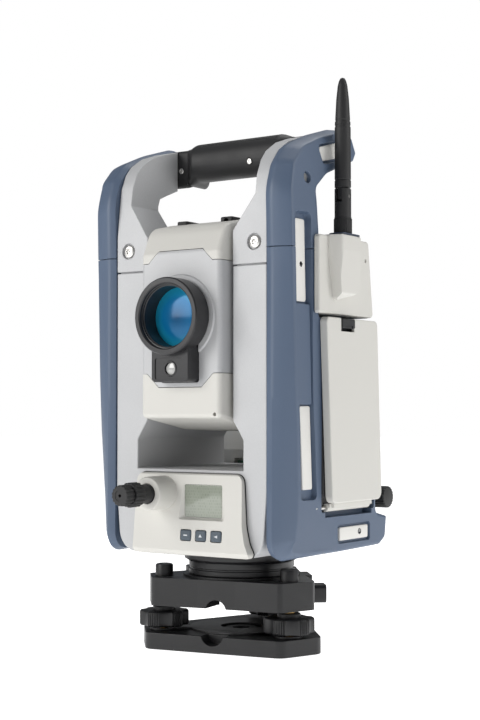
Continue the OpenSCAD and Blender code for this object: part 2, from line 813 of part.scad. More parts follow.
module telescope_frame() {
    color(dark) difference() {
        union() {
            difference() {
                scope_slice(scope_half_w, -52, 48);
                // the silver front plate takes the place of this slab
                box([-60, -100, 0], [60, -60, 400]);
            }
            // trunnion axles
            rod_x([-60, 0, trunnion_z], 120, trunnion_r);
        }
        // optical bore with the beam path
        rod_y([0, -70, trunnion_z], 120, 22);
        rod_y([0, 40, trunnion_z], 60, 8);
    }
}

// Front view of the silver plate between its upper and lower seams, relative to the axis
function plate_front() = [[-36, -41], [-30, -41], [-19.5, -51], [19.5, -51], [30, -41], [36, -41],
    [36, 40.3], [29, 40.3], [20, 49], [-20, 49], [-29, 40.3], [-36, 40.3]];

module telescope_front() {
    color(silver) difference() {
        intersection() {
            scope_slice(scope_half_w, -60, 60);
            translate([0, 0, trunnion_z]) along_y(-81, -60, plate_front());
        }
        rod_y([0, -90, trunnion_z], 40, aperture_r + 1.5);
        // seat of the tracker box
        translate([0, 0, trunnion_z]) box([-17.2, -90, -48], [17.2, -72, -10]);
    }
}

module telescope_top_cover() {
    color(grey) difference() {
        scope_slice(scope_half_w, 40, 80);
        translate([0, 0, trunnion_z]) {
            along_y(-100, -60, [for (p = plate_front()) [p.x * 1.001, p.y + 0.4]]);
            box([-60, -60, -100], [60, 100, 48.4]);
        }
        scope_sight_holes();
    }
}

module telescope_bottom_cover() {
    color(grey) difference() {
        scope_slice(scope_half_w, -90, -40);
        translate([0, 0, trunnion_z]) {
            along_y(-100, -60, [for (p = plate_front()) [p.x * 1.001, p.y - 0.4]]);
            box([-60, -60, -52.4], [60, 100, 100]);
        }
        rod_y([26, -90, 186], 12, 1.4);
    }
}

module lens_hood() {
    color(black) translate([0, 0, trunnion_z]) difference() {
        union() {
            rod_y([0, hood_front, 0], 18, hood_r);
            rod_y([0, scope_front, 0], 9, aperture_r + 1.5);
            // tracker box below the ring
            box([-17, -92, -47.6], [17, -72.2, -15]);
        }
        rod_y([0, hood_front - thin, 0], 7, aperture_r);
        rod_y([0, hood_front + 4, 0], 40, aperture_r - 1.6);
        rod_y([0, -93, -38], 6, 4.6);
    }
}

module objective_lens() {
    color([0.05, 0.45, 0.6, 0.6]) translate([0, 0, trunnion_z]) intersection() {
        rod_y([0, -84, 0], 8, aperture_r - 1.7);
        translate([0, -84 + 70, 0]) sphere(r = 70, $fn = 96);
    }
}

module tracker_window() {
    color([0.8, 0.8, 0.78]) rod_y([0, -91.4, trunnion_z - 38], 4, 4.5);
}

module eyepiece_ring() {
    color(black) translate([0, 0, trunnion_z]) difference() {
        union() {
            rod_y([0, 75.4, 0], 12, 17);
            rod_y([0, 62, 0], 16, 7.95);
            translate([0, 87.4, 0]) rotate([-90, 0, 0]) cylinder(h = 9, r1 = 12, r2 = 9.5);
        }
        rod_y([0, 60, 0], 40, 5);
        for (i = [0:29]) rotate([0, i * 12, 0]) rod_y([17.3, 74, 0], 14, 0.7);
    }
}

module scope_sight_holes() {
    box([14, -50, trunnion_z + 68], [26, 30, trunnion_z + 80]);
}

module sight_tubes() {
    // coarse sight let into the top cover
    color(black) difference() {
        box([14.3, -49.7, trunnion_z + 68.2], [25.7, 29.7, trunnion_z + 76]);
        rod_y([20, -60, trunnion_z + 72.6], 100, 2.2);
    }
}

base_plate();
spring_plate();
tribrach_body();
screw_caps();
level_housing();
level_vial();
base_flange();
vertical_shaft();
horizontal_circle();
levelling_screw_left();
levelling_screw_right();
levelling_screw_rear();
lock_knob();
yoke_frame();
upper_bracket_left();
upper_bracket_right();
handle_grip();
casing_screws();
lower_cover_right();
upper_cover_right();
lower_cover_left();
upper_cover_left();
cover_inlays();
radio_housing();
antenna_socket();
antenna_collar();
antenna_whip();
battery_door();
battery_latch();
door_hinge_pin();
battery_pack();
front_panel();
display_window();
display_module();
key_left();
key_middle();
key_right();
plummet_barrel();
plummet_focus_ring();
plummet_eyepiece();
service_housing();
control_panel();
control_screen();
power_key();
menu_key();
enter_key();
horizontal_knob();
vertical_knob();
trunnion_bearings();
drive_motors();
main_board();
telescope_frame();
telescope_front();
telescope_top_cover();
telescope_bottom_cover();
lens_hood();
objective_lens();
tracker_window();
eyepiece_ring();
sight_tubes();
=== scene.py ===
# %% [markdown]
# # A robotic total station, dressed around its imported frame
# This lesson gives each visible piece its finished surface and its material. Lengths in the cells
# are millimetres, because that is how such an instrument is drawn, and one factor turns them to
# metres.

# %% The frame
import math

import bmesh
import bpy
import numpy as np
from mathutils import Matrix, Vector


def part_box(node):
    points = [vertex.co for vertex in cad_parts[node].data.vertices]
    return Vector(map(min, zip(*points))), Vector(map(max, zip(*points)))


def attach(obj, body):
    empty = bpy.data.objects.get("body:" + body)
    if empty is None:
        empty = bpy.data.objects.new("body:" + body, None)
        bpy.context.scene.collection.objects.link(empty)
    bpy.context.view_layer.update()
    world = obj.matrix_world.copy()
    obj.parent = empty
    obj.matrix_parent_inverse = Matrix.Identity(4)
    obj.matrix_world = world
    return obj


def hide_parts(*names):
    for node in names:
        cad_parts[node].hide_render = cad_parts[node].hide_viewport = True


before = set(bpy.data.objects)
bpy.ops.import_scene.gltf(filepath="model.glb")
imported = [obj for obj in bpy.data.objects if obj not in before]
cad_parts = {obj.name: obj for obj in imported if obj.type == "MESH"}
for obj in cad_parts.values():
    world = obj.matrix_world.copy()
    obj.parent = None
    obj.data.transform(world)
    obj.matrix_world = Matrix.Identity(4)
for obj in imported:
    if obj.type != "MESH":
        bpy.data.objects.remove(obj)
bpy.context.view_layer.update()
MM = 0.001

# %% [markdown]
# ## Reading sizes from the frame
# A surface that has to sit on its neighbour takes its place from that neighbour's box, so nothing
# is fitted by eye. `span` gives a node's box in millimetres.

# %% Sizes from the frame
def span(node):
    """Lowest and highest corner of a CAD node, in millimetres."""
    low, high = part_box(node)
    return np.array(low) / MM, np.array(high) / MM


TILT_Z = sum(span("trunnion_bearings")[i][2] for i in (0, 1)) / 2
OPTICS = (0, 0, TILT_Z)
COVER_IN, COVER_OUT = span("lower_cover_right")[0][0], span("lower_cover_right")[1][0]
DOOR_OUT = span("battery_door")[1][0]
print("tilting axis at", round(TILT_Z, 2), "covers from", round(COVER_IN, 1), "to", round(COVER_OUT, 1))

# %% [markdown]
# ## From arrays to a mesh
# Every new surface here is a stack of rings: each ring is one closed outline, and neighbouring
# rings are joined with quads. A ring that closes an end becomes a flat cap. The whole stack is one
# array of shape (rings, points, 3), so no loop walks over the vertices.

# %% Rings to a closed mesh
def ring_faces(rings, points, closed=False):
    """Quads between neighbouring rings: point j of ring i joins j+1 of ring i and both of ring i+1."""
    i = np.arange(rings if closed else rings - 1)[:, None]
    j = np.arange(points)[None, :]
    k, nxt = (i + 1) % rings, (j + 1) % points
    return np.stack([i * points + j, i * points + nxt, k * points + nxt, k * points + j],
                    -1).reshape(-1, 4)


def stack(name, rings, closed=False):
    """A mesh object from an array (rings, points, 3) in millimetres, capped unless closed."""
    rings = np.asarray(rings, float)
    count, points = rings.shape[:2]
    faces = ring_faces(count, points, closed).tolist()
    if not closed:
        faces.append(list(range(points))[::-1])
        faces.append(list(range((count - 1) * points, count * points)))
    mesh = bpy.data.meshes.new(name)
    mesh.from_pydata((rings.reshape(-1, 3) * MM).tolist(), [], faces)
    piece = bpy.data.objects.new(name, mesh)
    bpy.context.scene.collection.objects.link(piece)
    tidy_mesh(piece)
    return piece


def tidy_mesh(piece, merge=0.00001):
    """Merges doubled points, then turns every face of the closed shape outwards."""
    work = bmesh.new()
    work.from_mesh(piece.data)
    bmesh.ops.remove_doubles(work, verts=work.verts, dist=merge)
    bmesh.ops.recalc_face_normals(work, faces=work.faces)
    work.to_mesh(piece.data)
    work.free()


# %% [markdown]
# ## Outlines
# A moulded part is drawn as a flat outline with rounded corners. Each corner's arc is tangent to
# both sides, so its centre lies on the bisector, at radius over the sine of half the angle.

# %% Rounded outlines and insets
def outline(corners, radius=0.0, steps=5):
    """Closed outline (n, 2) with each corner (u, v[, own radius]) replaced by a tangent arc."""
    points = []
    for i, corner in enumerate(corners):
        p = np.array(corner[:2], float)
        r = corner[2] if len(corner) > 2 else radius
        if r <= 0:
            points.append(p[None])
            continue
        a = np.array(corners[i - 1][:2], float) - p
        b = np.array(corners[(i + 1) % len(corners)][:2], float) - p
        a, b = a / np.linalg.norm(a), b / np.linalg.norm(b)
        half = math.acos(np.clip(a @ b, -1, 1)) / 2
        centre = p + (a + b) / np.linalg.norm(a + b) * r / math.sin(half)
        start, end = p + a * r / math.tan(half) - centre, p + b * r / math.tan(half) - centre
        t0 = math.atan2(start[1], start[0])
        turn = (math.atan2(end[1], end[0]) - t0 + math.pi) % (2 * math.pi) - math.pi
        t = t0 + turn * np.linspace(0, 1, steps + 1)
        points.append(centre + r * np.stack([np.cos(t), np.sin(t)], -1))
    return np.concatenate(points)


def slab(u0, v0, u1, v1, radius, steps=5):
    """Rectangle between two corners, rounded."""
    return outline([(u0, v0), (u1, v0), (u1, v1), (u0, v1)], radius, steps)


def disc(u, v, radius, steps=48):
    """Circle of a radius about (u, v)."""
    t = np.linspace(0, 2 * np.pi, steps, endpoint=False)
    return np.stack([u + radius * np.cos(t), v + radius * np.sin(t)], -1)


def inward(points):
    """Mitred inward direction at each point of a closed outline, for an inset of one unit."""
    edge = np.roll(points, -1, 0) - points
    edge /= np.linalg.norm(edge, axis=1)[:, None] + 1e-12
    area = np.sum(points[:, 0] * np.roll(points[:, 1], -1) - np.roll(points[:, 0], -1) * points[:, 1])
    normal = np.stack([-edge[:, 1], edge[:, 0]], -1) * np.sign(area)
    before = np.roll(normal, 1, 0)
    return (normal + before) / np.maximum(1 + np.sum(normal * before, 1), 0.35)[:, None]


def inset(points, amount):
    """Outline moved inwards; where an arc is tighter than the move, its points meet at the mitre."""
    edge = np.roll(points, -1, 0) - points
    moved = points + inward(points) * np.reshape(amount, (-1, 1))
    n = len(points)
    for _ in range(12):
        along = np.sum((np.roll(moved, -1, 0) - moved) * edge, 1)
        if not (along < -1e-9).any():
            break
        bad = along < 1e-9
        for i in np.flatnonzero(bad & ~np.roll(bad, 1)):
            run = 1
            while bad[(i + run) % n]:
                run += 1
            (a, b), (c, d) = moved[[i - 1, i]], moved[[(i + run) % n, (i + run + 1) % n]]
            across = (b - a)[0] * (d - c)[1] - (b - a)[1] * (d - c)[0]
            t = ((c - a)[0] * (d - c)[1] - (c - a)[1] * (d - c)[0]) / (across or 1)
            moved[(i + np.arange(run + 1)) % n] = a + (b - a) * t if abs(across) > 1e-9 else (b + c) / 2
    return moved


def place(points, axis, height):
    """An outline as 3-D points, at one height along the axis it is extruded on."""
    h = np.broadcast_to(np.asarray(height, float), points.shape[:1])
    u, v = points[:, 0], points[:, 1]
    order = {"x": (h, u, v), "y": (u, h, v), "z": (u, v, h)}[axis]
    return np.stack(order, -1)


# %% [markdown]
# ## Prisms with rounded rims, turned parts and lofts
# Three ways make nearly all of the instrument. A prism carries its outline along an axis and
# rounds both rims with a quarter circle. A turned part spins a profile. A loft changes its
# rounded rectangle from section to section, as a casting with sloping faces does.

# %% Prism, lathe and loft
def prism(name, points, axis, low, high, rim=0.5, steps=3, rim_low=None):
    """Outline from low to high, with the rims rounded: inset r(1 - sin t), height r(1 - cos t)."""
    t = np.linspace(0, np.pi / 2, steps + 1)
    first = rim if rim_low is None else rim_low
    rings = [place(inset(points, first * (1 - math.sin(a))), axis,
                   low + first * (1 - math.cos(a))) for a in t]
    rings += [place(inset(points, rim * (1 - math.cos(a))), axis,
                    high - rim * (1 - math.sin(a))) for a in t]
    return stack(name, rings)


def lathe(name, profile, axis, centre, points=64, closed=False):
    """Profile of (radius, height) pairs spun about an axis; radii of 0 close the ends."""
    profile = np.array(profile, float)
    t = np.linspace(0, 2 * np.pi, points, endpoint=False)
    radius = np.maximum(profile[:, :1], 0.0)
    u, v = radius * np.cos(t), radius * np.sin(t)
    h = np.broadcast_to(profile[:, 1:2], u.shape)
    order = {"x": (h, u, v), "y": (u, h, v), "z": (u, v, h)}[axis]
    return stack(name, np.stack(order, -1) + np.asarray(centre, float), closed)


def rod(radius, low, high, axis, centre, points=48):
    """Plain cylinder from low to high, on an axis through centre."""
    return lathe("rod", [(0, low), (radius, low), (radius, high), (0, high)], axis, centre, points)


def loft(name, sections, axis="z", corner_steps=5):
    """Rounded rectangles (u0, v0, u1, v1, radius, height) joined one after another along an axis."""
    rings = [place(slab(u0, v0, u1, v1, r, corner_steps), axis, h) for u0, v0, u1, v1, r, h in sections]
    return stack(name, rings)


# %% [markdown]
# ## Cutting and finishing
# Recesses, windows and seams are cut with solids, as a toolmaker would cut a mould. The last step
# breaks every sharp edge by a few tenths of a millimetre, because a real edge always catches light.

# %% Cut, join and break edges
def bake(piece):
    """Applies the piece's modifiers, so that its mesh is what is seen."""
    solid = bpy.data.meshes.new_from_object(piece.evaluated_get(bpy.context.evaluated_depsgraph_get()))
    piece.modifiers.clear()
    piece.data = solid
    return piece


def boolean(piece, tool, operation):
    """Combines piece with tool, and removes the tool."""
    step = piece.modifiers.new("cut", "BOOLEAN")
    step.operation, step.solver, step.object = operation, "EXACT", tool
    bpy.context.view_layer.update()
    bake(piece)
    bpy.data.objects.remove(tool)
    return piece


def carve(piece, *tools):
    """Takes each tool's solid away from the piece."""
    for tool in tools:
        boolean(piece, tool, "DIFFERENCE")
    return piece


def weld(piece, *others):
    """Joins solids into one."""
    for other in others:
        boolean(piece, other, "UNION")
    return piece


def keep_inside(piece, tool):
    """Keeps only what lies inside the tool's solid."""
    return boolean(piece, tool, "INTERSECT")


def block(low, high, name="tool"):
    """Plain box between two corners, used only as a cutting tool."""
    (x0, y0, z0), (x1, y1, z1) = low, high
    square = np.array([[x0, y0], [x1, y0], [x1, y1], [x0, y1]], float)
    return stack(name, [place(square, "z", z0), place(square, "z", z1)])


def twin(piece, name):
    """A copy of the piece, mirrored to the other side of the instrument."""
    mesh = piece.data.copy()
    flip = np.array([-1.0, 1.0, 1.0])
    co = np.zeros(len(mesh.vertices) * 3)
    mesh.vertices.foreach_get("co", co)
    mesh.vertices.foreach_set("co", (co.reshape(-1, 3) * flip).ravel())
    mesh.flip_normals()
    other = bpy.data.objects.new(name, mesh)
    bpy.context.scene.collection.objects.link(other)
    return other


def clone(piece, name="copy"):
    """A second object with its own copy of the mesh."""
    other = bpy.data.objects.new(name, piece.data.copy())
    bpy.context.scene.collection.objects.link(other)
    return other


def soften(piece, width=0.5, segments=2, angle=32):
    """Breaks the edges sharper than an angle, and shades the faces between them smoothly."""
    if width:
        step = piece.modifiers.new("edges", "BEVEL")
        step.width, step.segments = width * MM, segments
        step.limit_method, step.angle_limit = "ANGLE", math.radians(angle)
        step.use_clamp_overlap = True
        step.miter_outer = "MITER_SHARP"
        bake(piece)
    piece.data.polygons.foreach_set("use_smooth", np.ones(len(piece.data.polygons), bool))
    piece.data.set_sharp_from_angle(angle=math.radians(50 if width else angle))
    if width:
        flat = piece.modifiers.new("flat_faces", "WEIGHTED_NORMAL")
        flat.mode, flat.weight, flat.keep_sharp = "FACE_AREA", 50, True
        bake(piece)
    return piece


def from_cad(name, node, width=0.5, segments=2, angle=32):
    """A merged copy of a CAD node with its flat triangles dissolved and its edges broken."""
    piece = bpy.data.objects.new(name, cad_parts[node].data.copy())
    bpy.context.scene.collection.objects.link(piece)
    piece.data.materials.clear()
    work = bmesh.new()
    work.from_mesh(piece.data)
    bmesh.ops.remove_doubles(work, verts=work.verts, dist=0.00002)
    bmesh.ops.dissolve_limit(work, angle_limit=math.radians(1.0), verts=work.verts, edges=work.edges)
    work.to_mesh(piece.data)
    work.free()
    return soften(piece, width, segments, angle)


def carry(piece, body, slot, *nodes):
    """Rides a piece on its body and hides the CAD nodes that it stands for; the slot is not used."""
    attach(piece, body)
    if nodes:
        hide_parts(*nodes)
    return piece


def dress(piece, material, body, slot, *nodes):
    """Gives a finished piece one material, and carries it."""
    piece.data.materials.clear()
    piece.data.materials.append(material)
    return carry(piece, body, slot, *nodes)

# %% [markdown]
# ## Materials
# Painted castings, moulded plastic and anodised metal differ in three things: how large their
# grain is, how much it catches the light, and how even the gloss is. One recipe serves them all:
# a fine noise in object space tints and bumps the surface, and a broad one varies its roughness.

# %% One recipe for moulded and painted surfaces
def blank_material(name):
    """A new node material, with its nodes, its links and its principled shader."""
    material = bpy.data.materials.new(name)
    material.use_nodes = True
    tree = material.node_tree
    return material, tree.nodes, tree.links, tree.nodes["Principled BSDF"]


def with_values(node, **values):
    """Sets a node's plain numbers; an underscore in a name stands for the space in its socket."""
    for socket, value in values.items():
        node.inputs[socket.replace("_", " ")].default_value = value
    return node


def finish_of(name, colour, roughness, grain=1400.0, bump=0.08, speckle=0.05, metallic=0.0, coat=0.0,
              patchy=0.06, stretch=(1, 1, 1)):
    """Principled surface: fine noise tints and bumps it, and broad noise moves its roughness."""
    material, nodes, links, shader = blank_material(name)
    with_values(shader, Metallic=metallic, Coat_Weight=coat)
    where = nodes.new("ShaderNodeTexCoord")
    turn = with_values(nodes.new("ShaderNodeMapping"), Scale=stretch)
    links.new(where.outputs["Object"], turn.inputs["Vector"])
    fine = with_values(nodes.new("ShaderNodeTexNoise"), Scale=grain, Detail=2.0)
    links.new(turn.outputs["Vector"], fine.inputs["Vector"])
    broad = with_values(nodes.new("ShaderNodeTexNoise"), Scale=28.0, Detail=4.0)
    links.new(where.outputs["Object"], broad.inputs["Vector"])
    tint = nodes.new("ShaderNodeMix")
    tint.data_type = "RGBA"
    with_values(tint, A=[c * (1 - speckle) for c in colour] + [1.0],
                B=[min(c * (1 + speckle), 1.0) for c in colour] + [1.0])
    links.new(fine.outputs["Fac"], tint.inputs["Factor"])
    links.new(tint.outputs["Result"], shader.inputs["Base Color"])
    gloss = with_values(nodes.new("ShaderNodeMapRange"), From_Min=0.3, From_Max=0.7,
                        To_Min=max(roughness - patchy, 0.03), To_Max=min(roughness + patchy, 1.0))
    links.new(broad.outputs["Fac"], gloss.inputs["Value"])
    links.new(gloss.outputs["Result"], shader.inputs["Roughness"])
    relief = with_values(nodes.new("ShaderNodeBump"), Strength=bump, Distance=0.0002)
    links.new(fine.outputs["Fac"], relief.inputs["Height"])
    links.new(relief.outputs["Normal"], shader.inputs["Normal"])
    return material


# %% The instrument's finishes
SILVER = finish_of("silver_paint", (0.48, 0.485, 0.495), 0.50, 1500, 0.10, 0.09, metallic=0.12)
BLUE = finish_of("blue_bumper", (0.078, 0.112, 0.175), 0.46, 1900, 0.16, 0.06, patchy=0.04)
GREY = finish_of("light_moulding", (0.600, 0.590, 0.555), 0.50, 1700, 0.10, 0.025, patchy=0.04)
INLAY = finish_of("inlay_moulding", (0.700, 0.690, 0.660), 0.45, 1700, 0.06, 0.02)
BLACK = finish_of("black_casting", (0.007, 0.007, 0.008), 0.42, 1500, 0.22, 0.18, patchy=0.08)
GRIP = finish_of("black_grip", (0.012, 0.012, 0.013), 0.55, 1300, 0.30, 0.15, patchy=0.08)
HOOD = finish_of("anodised_hood", (0.020, 0.020, 0.022), 0.34, 1800, 0.06, 0.10, metallic=0.2)
DARK = finish_of("dark_moulding", (0.075, 0.076, 0.080), 0.50, 1600, 0.15, 0.08)
KEYS = finish_of("key_rubber", (0.060, 0.082, 0.105), 0.48, 1500, 0.10, 0.06)
PLATE = finish_of("socket_plate", (0.030, 0.045, 0.075), 0.45, 1500, 0.10, 0.06)
STEEL = finish_of("bright_steel", (0.62, 0.61, 0.59), 0.28, 2200, 0.04, 0.06, metallic=1.0,
                  stretch=(1, 1, 0.1))
BRASS = finish_of("brass_thread", (0.60, 0.40, 0.16), 0.30, 2200, 0.05, 0.08, metallic=1.0)
COPPER = finish_of("copper_winding", (0.62, 0.30, 0.15), 0.35, 900, 0.20, 0.15, metallic=1.0,
                   stretch=(0.15, 1, 1))
BOARD = finish_of("circuit_board", (0.020, 0.110, 0.050), 0.35, 700, 0.10, 0.30)
SPRING = finish_of("spring_steel", (0.060, 0.060, 0.062), 0.36, 1500, 0.08, 0.12, metallic=0.6)
VIAL = finish_of("vial_liquid", (0.42, 0.60, 0.10), 0.10, 600, 0.01, 0.05, coat=1.0)
CIRCLE = finish_of("graduated_glass", (0.55, 0.66, 0.70), 0.06, 600, 0.01, 0.05, coat=0.5)
SCREEN = finish_of("screen_glass", (0.010, 0.012, 0.015), 0.08, 900, 0.0, 0.05, coat=1.0, patchy=0.02)
MARK = finish_of("printed_mark", (0.62, 0.64, 0.66), 0.50, 1500, 0.02, 0.02)
TRACKER = finish_of("tracker_glass", (0.42, 0.42, 0.41), 0.12, 900, 0.0, 0.03, coat=1.0, patchy=0.02)


# %% [markdown]
# ## Coated glass and the display
# A multi-coated objective throws back a cold cyan that deepens towards its middle. Here that
# reflection is painted into the glass's base colour: a painted reflection that follows the radius,
# so it is read from object space, centred on the optical axis.
# The little display is a grey-green panel with faint rows of segments, worked out as a grid.

# %% Coated objective
def coated_glass(name, centre_z, radius):
    """Dark glass with a painted reflection: base colour from deep blue in the middle to cyan at the
    rim.
    """
    material, nodes, links, shader = blank_material(name)
    with_values(shader, Metallic=0.1, Roughness=0.16, Specular_IOR_Level=0.25)
    where = nodes.new("ShaderNodeTexCoord")
    centre = with_values(nodes.new("ShaderNodeMapping"), Location=(0, 0, -centre_z / radius),
                         Scale=(1 / radius, 0, 1 / radius))
    links.new(where.outputs["Object"], centre.inputs["Vector"])
    length = nodes.new("ShaderNodeVectorMath")
    length.operation = "LENGTH"
    links.new(centre.outputs["Vector"], length.inputs[0])
    # painted reflection: the ramp's deep blue to cyan stands in for the coating's reflected light
    ramp = nodes.new("ShaderNodeValToRGB")
    ramp.color_ramp.elements[0].color = (0.006, 0.060, 0.150, 1)
    ramp.color_ramp.elements[1].color = (0.015, 0.330, 0.520, 1)
    middle = ramp.color_ramp.elements.new(0.62)
    middle.color = (0.004, 0.140, 0.330, 1)
    links.new(length.outputs["Value"], ramp.inputs["Fac"])
    links.new(ramp.outputs["Color"], shader.inputs["Base Color"])
    return material


# %% Display
def display_panel(name, corner, size):
    """Grey-green panel, with rows of faint segments that a brick pattern lays out."""
    material, nodes, links, shader = blank_material(name)
    with_values(shader, Roughness=0.16, Coat_Weight=0.6)
    where = nodes.new("ShaderNodeTexCoord")
    local = with_values(nodes.new("ShaderNodeMapping"), Scale=(1 / size[0], 1 / size[1], 1),
                        Location=(-corner[0] / size[0], -corner[1] / size[1], 0))
    split = nodes.new("ShaderNodeSeparateXYZ")
    join = nodes.new("ShaderNodeCombineXYZ")
    links.new(where.outputs["Object"], split.inputs[0])
    links.new(split.outputs["X"], join.inputs["X"])
    links.new(split.outputs["Z"], join.inputs["Y"])
    links.new(join.outputs[0], local.inputs["Vector"])
    rows = with_values(nodes.new("ShaderNodeTexBrick"), Scale=1.0, Brick_Width=0.045, Row_Height=0.095,
                       Mortar_Size=0.016, Color1=(0.170, 0.190, 0.150, 1),
                       Color2=(0.250, 0.275, 0.225, 1), Mortar=(0.265, 0.290, 0.240, 1))
    links.new(local.outputs["Vector"], rows.inputs["Vector"])
    links.new(rows.outputs["Color"], shader.inputs["Base Color"])
    return material


# %% [markdown]
# ## Blue side covers
# Each side wears a moulded bumper: a plate that follows the pillar and the arm, with a broad
# bevel in front and a narrow one behind. Its rings are insets of one side outline. How far a ring
# moves in depends on the stretch of the outline, so the bevel is an array of widths that is
# smoothed round the loop, and the plate bulges slightly between its edges.

# %% Shape of one bumper
def resample(points, step):
    """Adds points along the long edges of a closed outline, keeping its own corners."""
    loop = np.vstack([points, points[:1]])
    run = np.concatenate([[0], np.cumsum(np.linalg.norm(np.diff(loop, axis=0), axis=1))])
    extra = np.linspace(0, run[-1], int(run[-1] / step), endpoint=False)
    far = np.min(np.abs(extra[:, None] - run[None, :]), axis=1) > step * 0.4
    at = np.sort(np.concatenate([run[:-1], extra[far]]))
    return np.stack([np.interp(at, run, loop[:, k]) for k in (0, 1)], -1)


def smooth_loop(values, passes):
    """Averages a closed list of numbers with its neighbours, a number of times."""
    for _ in range(passes):
        values = (np.roll(values, 1) + 2 * values + np.roll(values, -1)) / 4
    return values


SEAM_Z = 295.4
COVER_SIDE = [(-72, 72, 15), (56, 74, 9), (66.8, 80, 8), (69.6, 100, 4), (52, 103, 3), (50, 248.4, 2),
              (-30.6, 248.6, 1), (-30.6, 309, 20), (-33.6, 339, 5), (-18.6, 350.4, 20), (22, 365.5, 6),
              (28, 374, 5), (21, 388, 8), (7, 391.6, 20), (-27, 381.5, 60), (-53, 371, 25),
              (-66, 357, 22), (-72.8, 338, 40), (-71.2, 285, 0)]


def lean(ring):
    """Draws the outer face in towards the front edge, the arm's top and the lower front corner."""
    y, z = ring[:, 1], ring[:, 2]
    front = np.clip((-y - 30) / 38, 0, 1)
    drop = 1.9 * front ** 1.5 + 3.4 * np.clip((z - 330) / 60, 0, 1)
    drop = drop + np.interp(z, (77, 87, 100, 123, 164), (8, 4, 2.4, 0.9, 0)) * np.clip(-y / 55, 0, 1)
    share = np.clip((ring[:, 0] - 74.7) / (COVER_OUT - 74.7), 0, 1)
    return np.stack([ring[:, 0] - drop * share, y, z], -1)


def bumper(name):
    """Rings inset from the side outline: out to the front facet, up the bevel, then the face."""
    edge = resample(outline(COVER_SIDE, steps=8), 5.0)
    y, z = edge[:, 0], edge[:, 1]
    front = np.clip((-y - 58) / 8, 0, 1)
    broad = np.interp(z, (72, 113, 201, 292, 352), (10, 10, 4.2, 1.2, 1.6))
    width = smooth_loop(2.8 + broad * front * (z < 352), 6)
    lip = 74.7
    rings = [place(inset(edge, 2.2), "x", COVER_IN), place(inset(edge, 0.5), "x", COVER_IN + 3.6),
             place(edge, "x", lip)]
    for f in np.linspace(0.12, 1, 8):
        moved = inset(edge, width * (f - 0.13 * math.sin(math.pi * f)))
        rings.append(place(moved, "x", lip + (COVER_OUT - 1.0 - lip) * f))
    for f, depth in ((1.5, 0.45), (2.3, 0.15), (3.6, 0.0)):
        rings.append(place(inset(edge, width + f - 1), "x", COVER_OUT - depth))
    return stack(name, [lean(ring) for ring in rings])


# %% [markdown]
# ### Channels, bay and seam
# The light inlays lie at the bottom of sunk channels with sloping ends, and the battery stands in
# a bay. They are cut after the shell is closed. Then a thin plane parts it at the seam, which
# leaves the fine dark line that separates the lower cover from the upper one.

# %% Cutting the bumper
def channel(points, floor, rim=1.2):
    """Cutting tool for a channel whose walls flare a little towards the outside."""
    return stack("tool", [place(inset(points, 0.9), "x", floor),
                          place(inset(points, rim * 0.4), "x", floor + 2),
                          place(inset(points, -rim), "x", COVER_OUT + 3)])


BAND_CHANNEL = outline([(-55.5, 115, 4), (-34.5, 115, 4), (-40.3, 185, 30), (-42.4, 256, 30),
                        (-43.9, 321, 4),
                        (-63.6, 321, 4), (-62, 256, 30), (-58.6, 185, 30)])
FOOT_CHANNEL = slab(-8, 81, 40, 95.7, 3)
ARM_CHANNEL = outline([(-24.5, 358.8, 3), (5, 366, 3), (5, 382.5, 3), (-31.5, 372.6, 3)])
BRIDGE = outline([(-58, 183.4, 1.5), (-40.6, 183.4, 1.5), (-43, 255.4, 1.5), (-61.4, 255.4, 1.5)])


def side_cover(name):
    """The whole bumper of the +X side, with its bay, channels and small plug hole."""
    shell = bumper(name)
    carve(shell, prism("tool", slab(-29, 105, 46, 245, 2), "x", COVER_IN - 3, COVER_OUT + 3, 0.01),
          channel(BAND_CHANNEL, COVER_OUT - 5.4, 0.6),
          channel(FOOT_CHANNEL, COVER_OUT - 2.6), channel(ARM_CHANNEL, COVER_OUT - 5.6),
          lathe("tool", [(0, 86), (4.1, 86), (4.5, 95), (0, 95)], "x", (0, -47, 346.5), 32))
    return weld(shell, prism("bridge", BRIDGE, "x", 84, 88.9, 0.8))


def parted(shell, name, low, high):
    """The stretch of a shell between two heights."""
    piece = keep_inside(shell, block((-100, -100, low), (100, 120, high)))
    piece.name = name
    return piece


right_shell = side_cover("side_shell")
left_shell = twin(right_shell, "left_shell")
carve(right_shell, block((83.5, -24, 101.5), (95, 42, 110)))
for side, shell in (("right", right_shell), ("left", left_shell)):
    upper = parted(clone(shell), f"upper_bumper_{side}", SEAM_Z + 0.2, 400)
    lower = parted(shell, f"lower_bumper_{side}", 60, SEAM_Z - 0.4)
    dress(soften(upper, 0.35), BLUE, "alidade", "blue_plastic", f"upper_cover_{side}")
    dress(soften(lower, 0.35), BLUE, "alidade", "blue_plastic", f"lower_cover_{side}")
print("bumpers:", [len(o.data.polygons) for o in (upper, lower)], "faces")

# %% [markdown]
# ## Inlays
# Thin light strips with soft rims lie in the channels, and each carries a small dark sensor. They
# are prisms, joined to one piece, because the node is one group of strips.

# %% Light strips and their sensors
def join(name, pieces):
    """Several finished objects as one, each keeping its own material."""
    bpy.ops.object.select_all(action="DESELECT")
    for piece in pieces:
        piece.select_set(True)
    bpy.context.view_layer.objects.active = pieces[0]
    bpy.ops.object.join()
    pieces[0].name = name
    return pieces[0]


def painted(piece, material):
    """Gives a piece that will be joined its own material."""
    piece.data.materials.clear()
    piece.data.materials.append(material)
    return piece


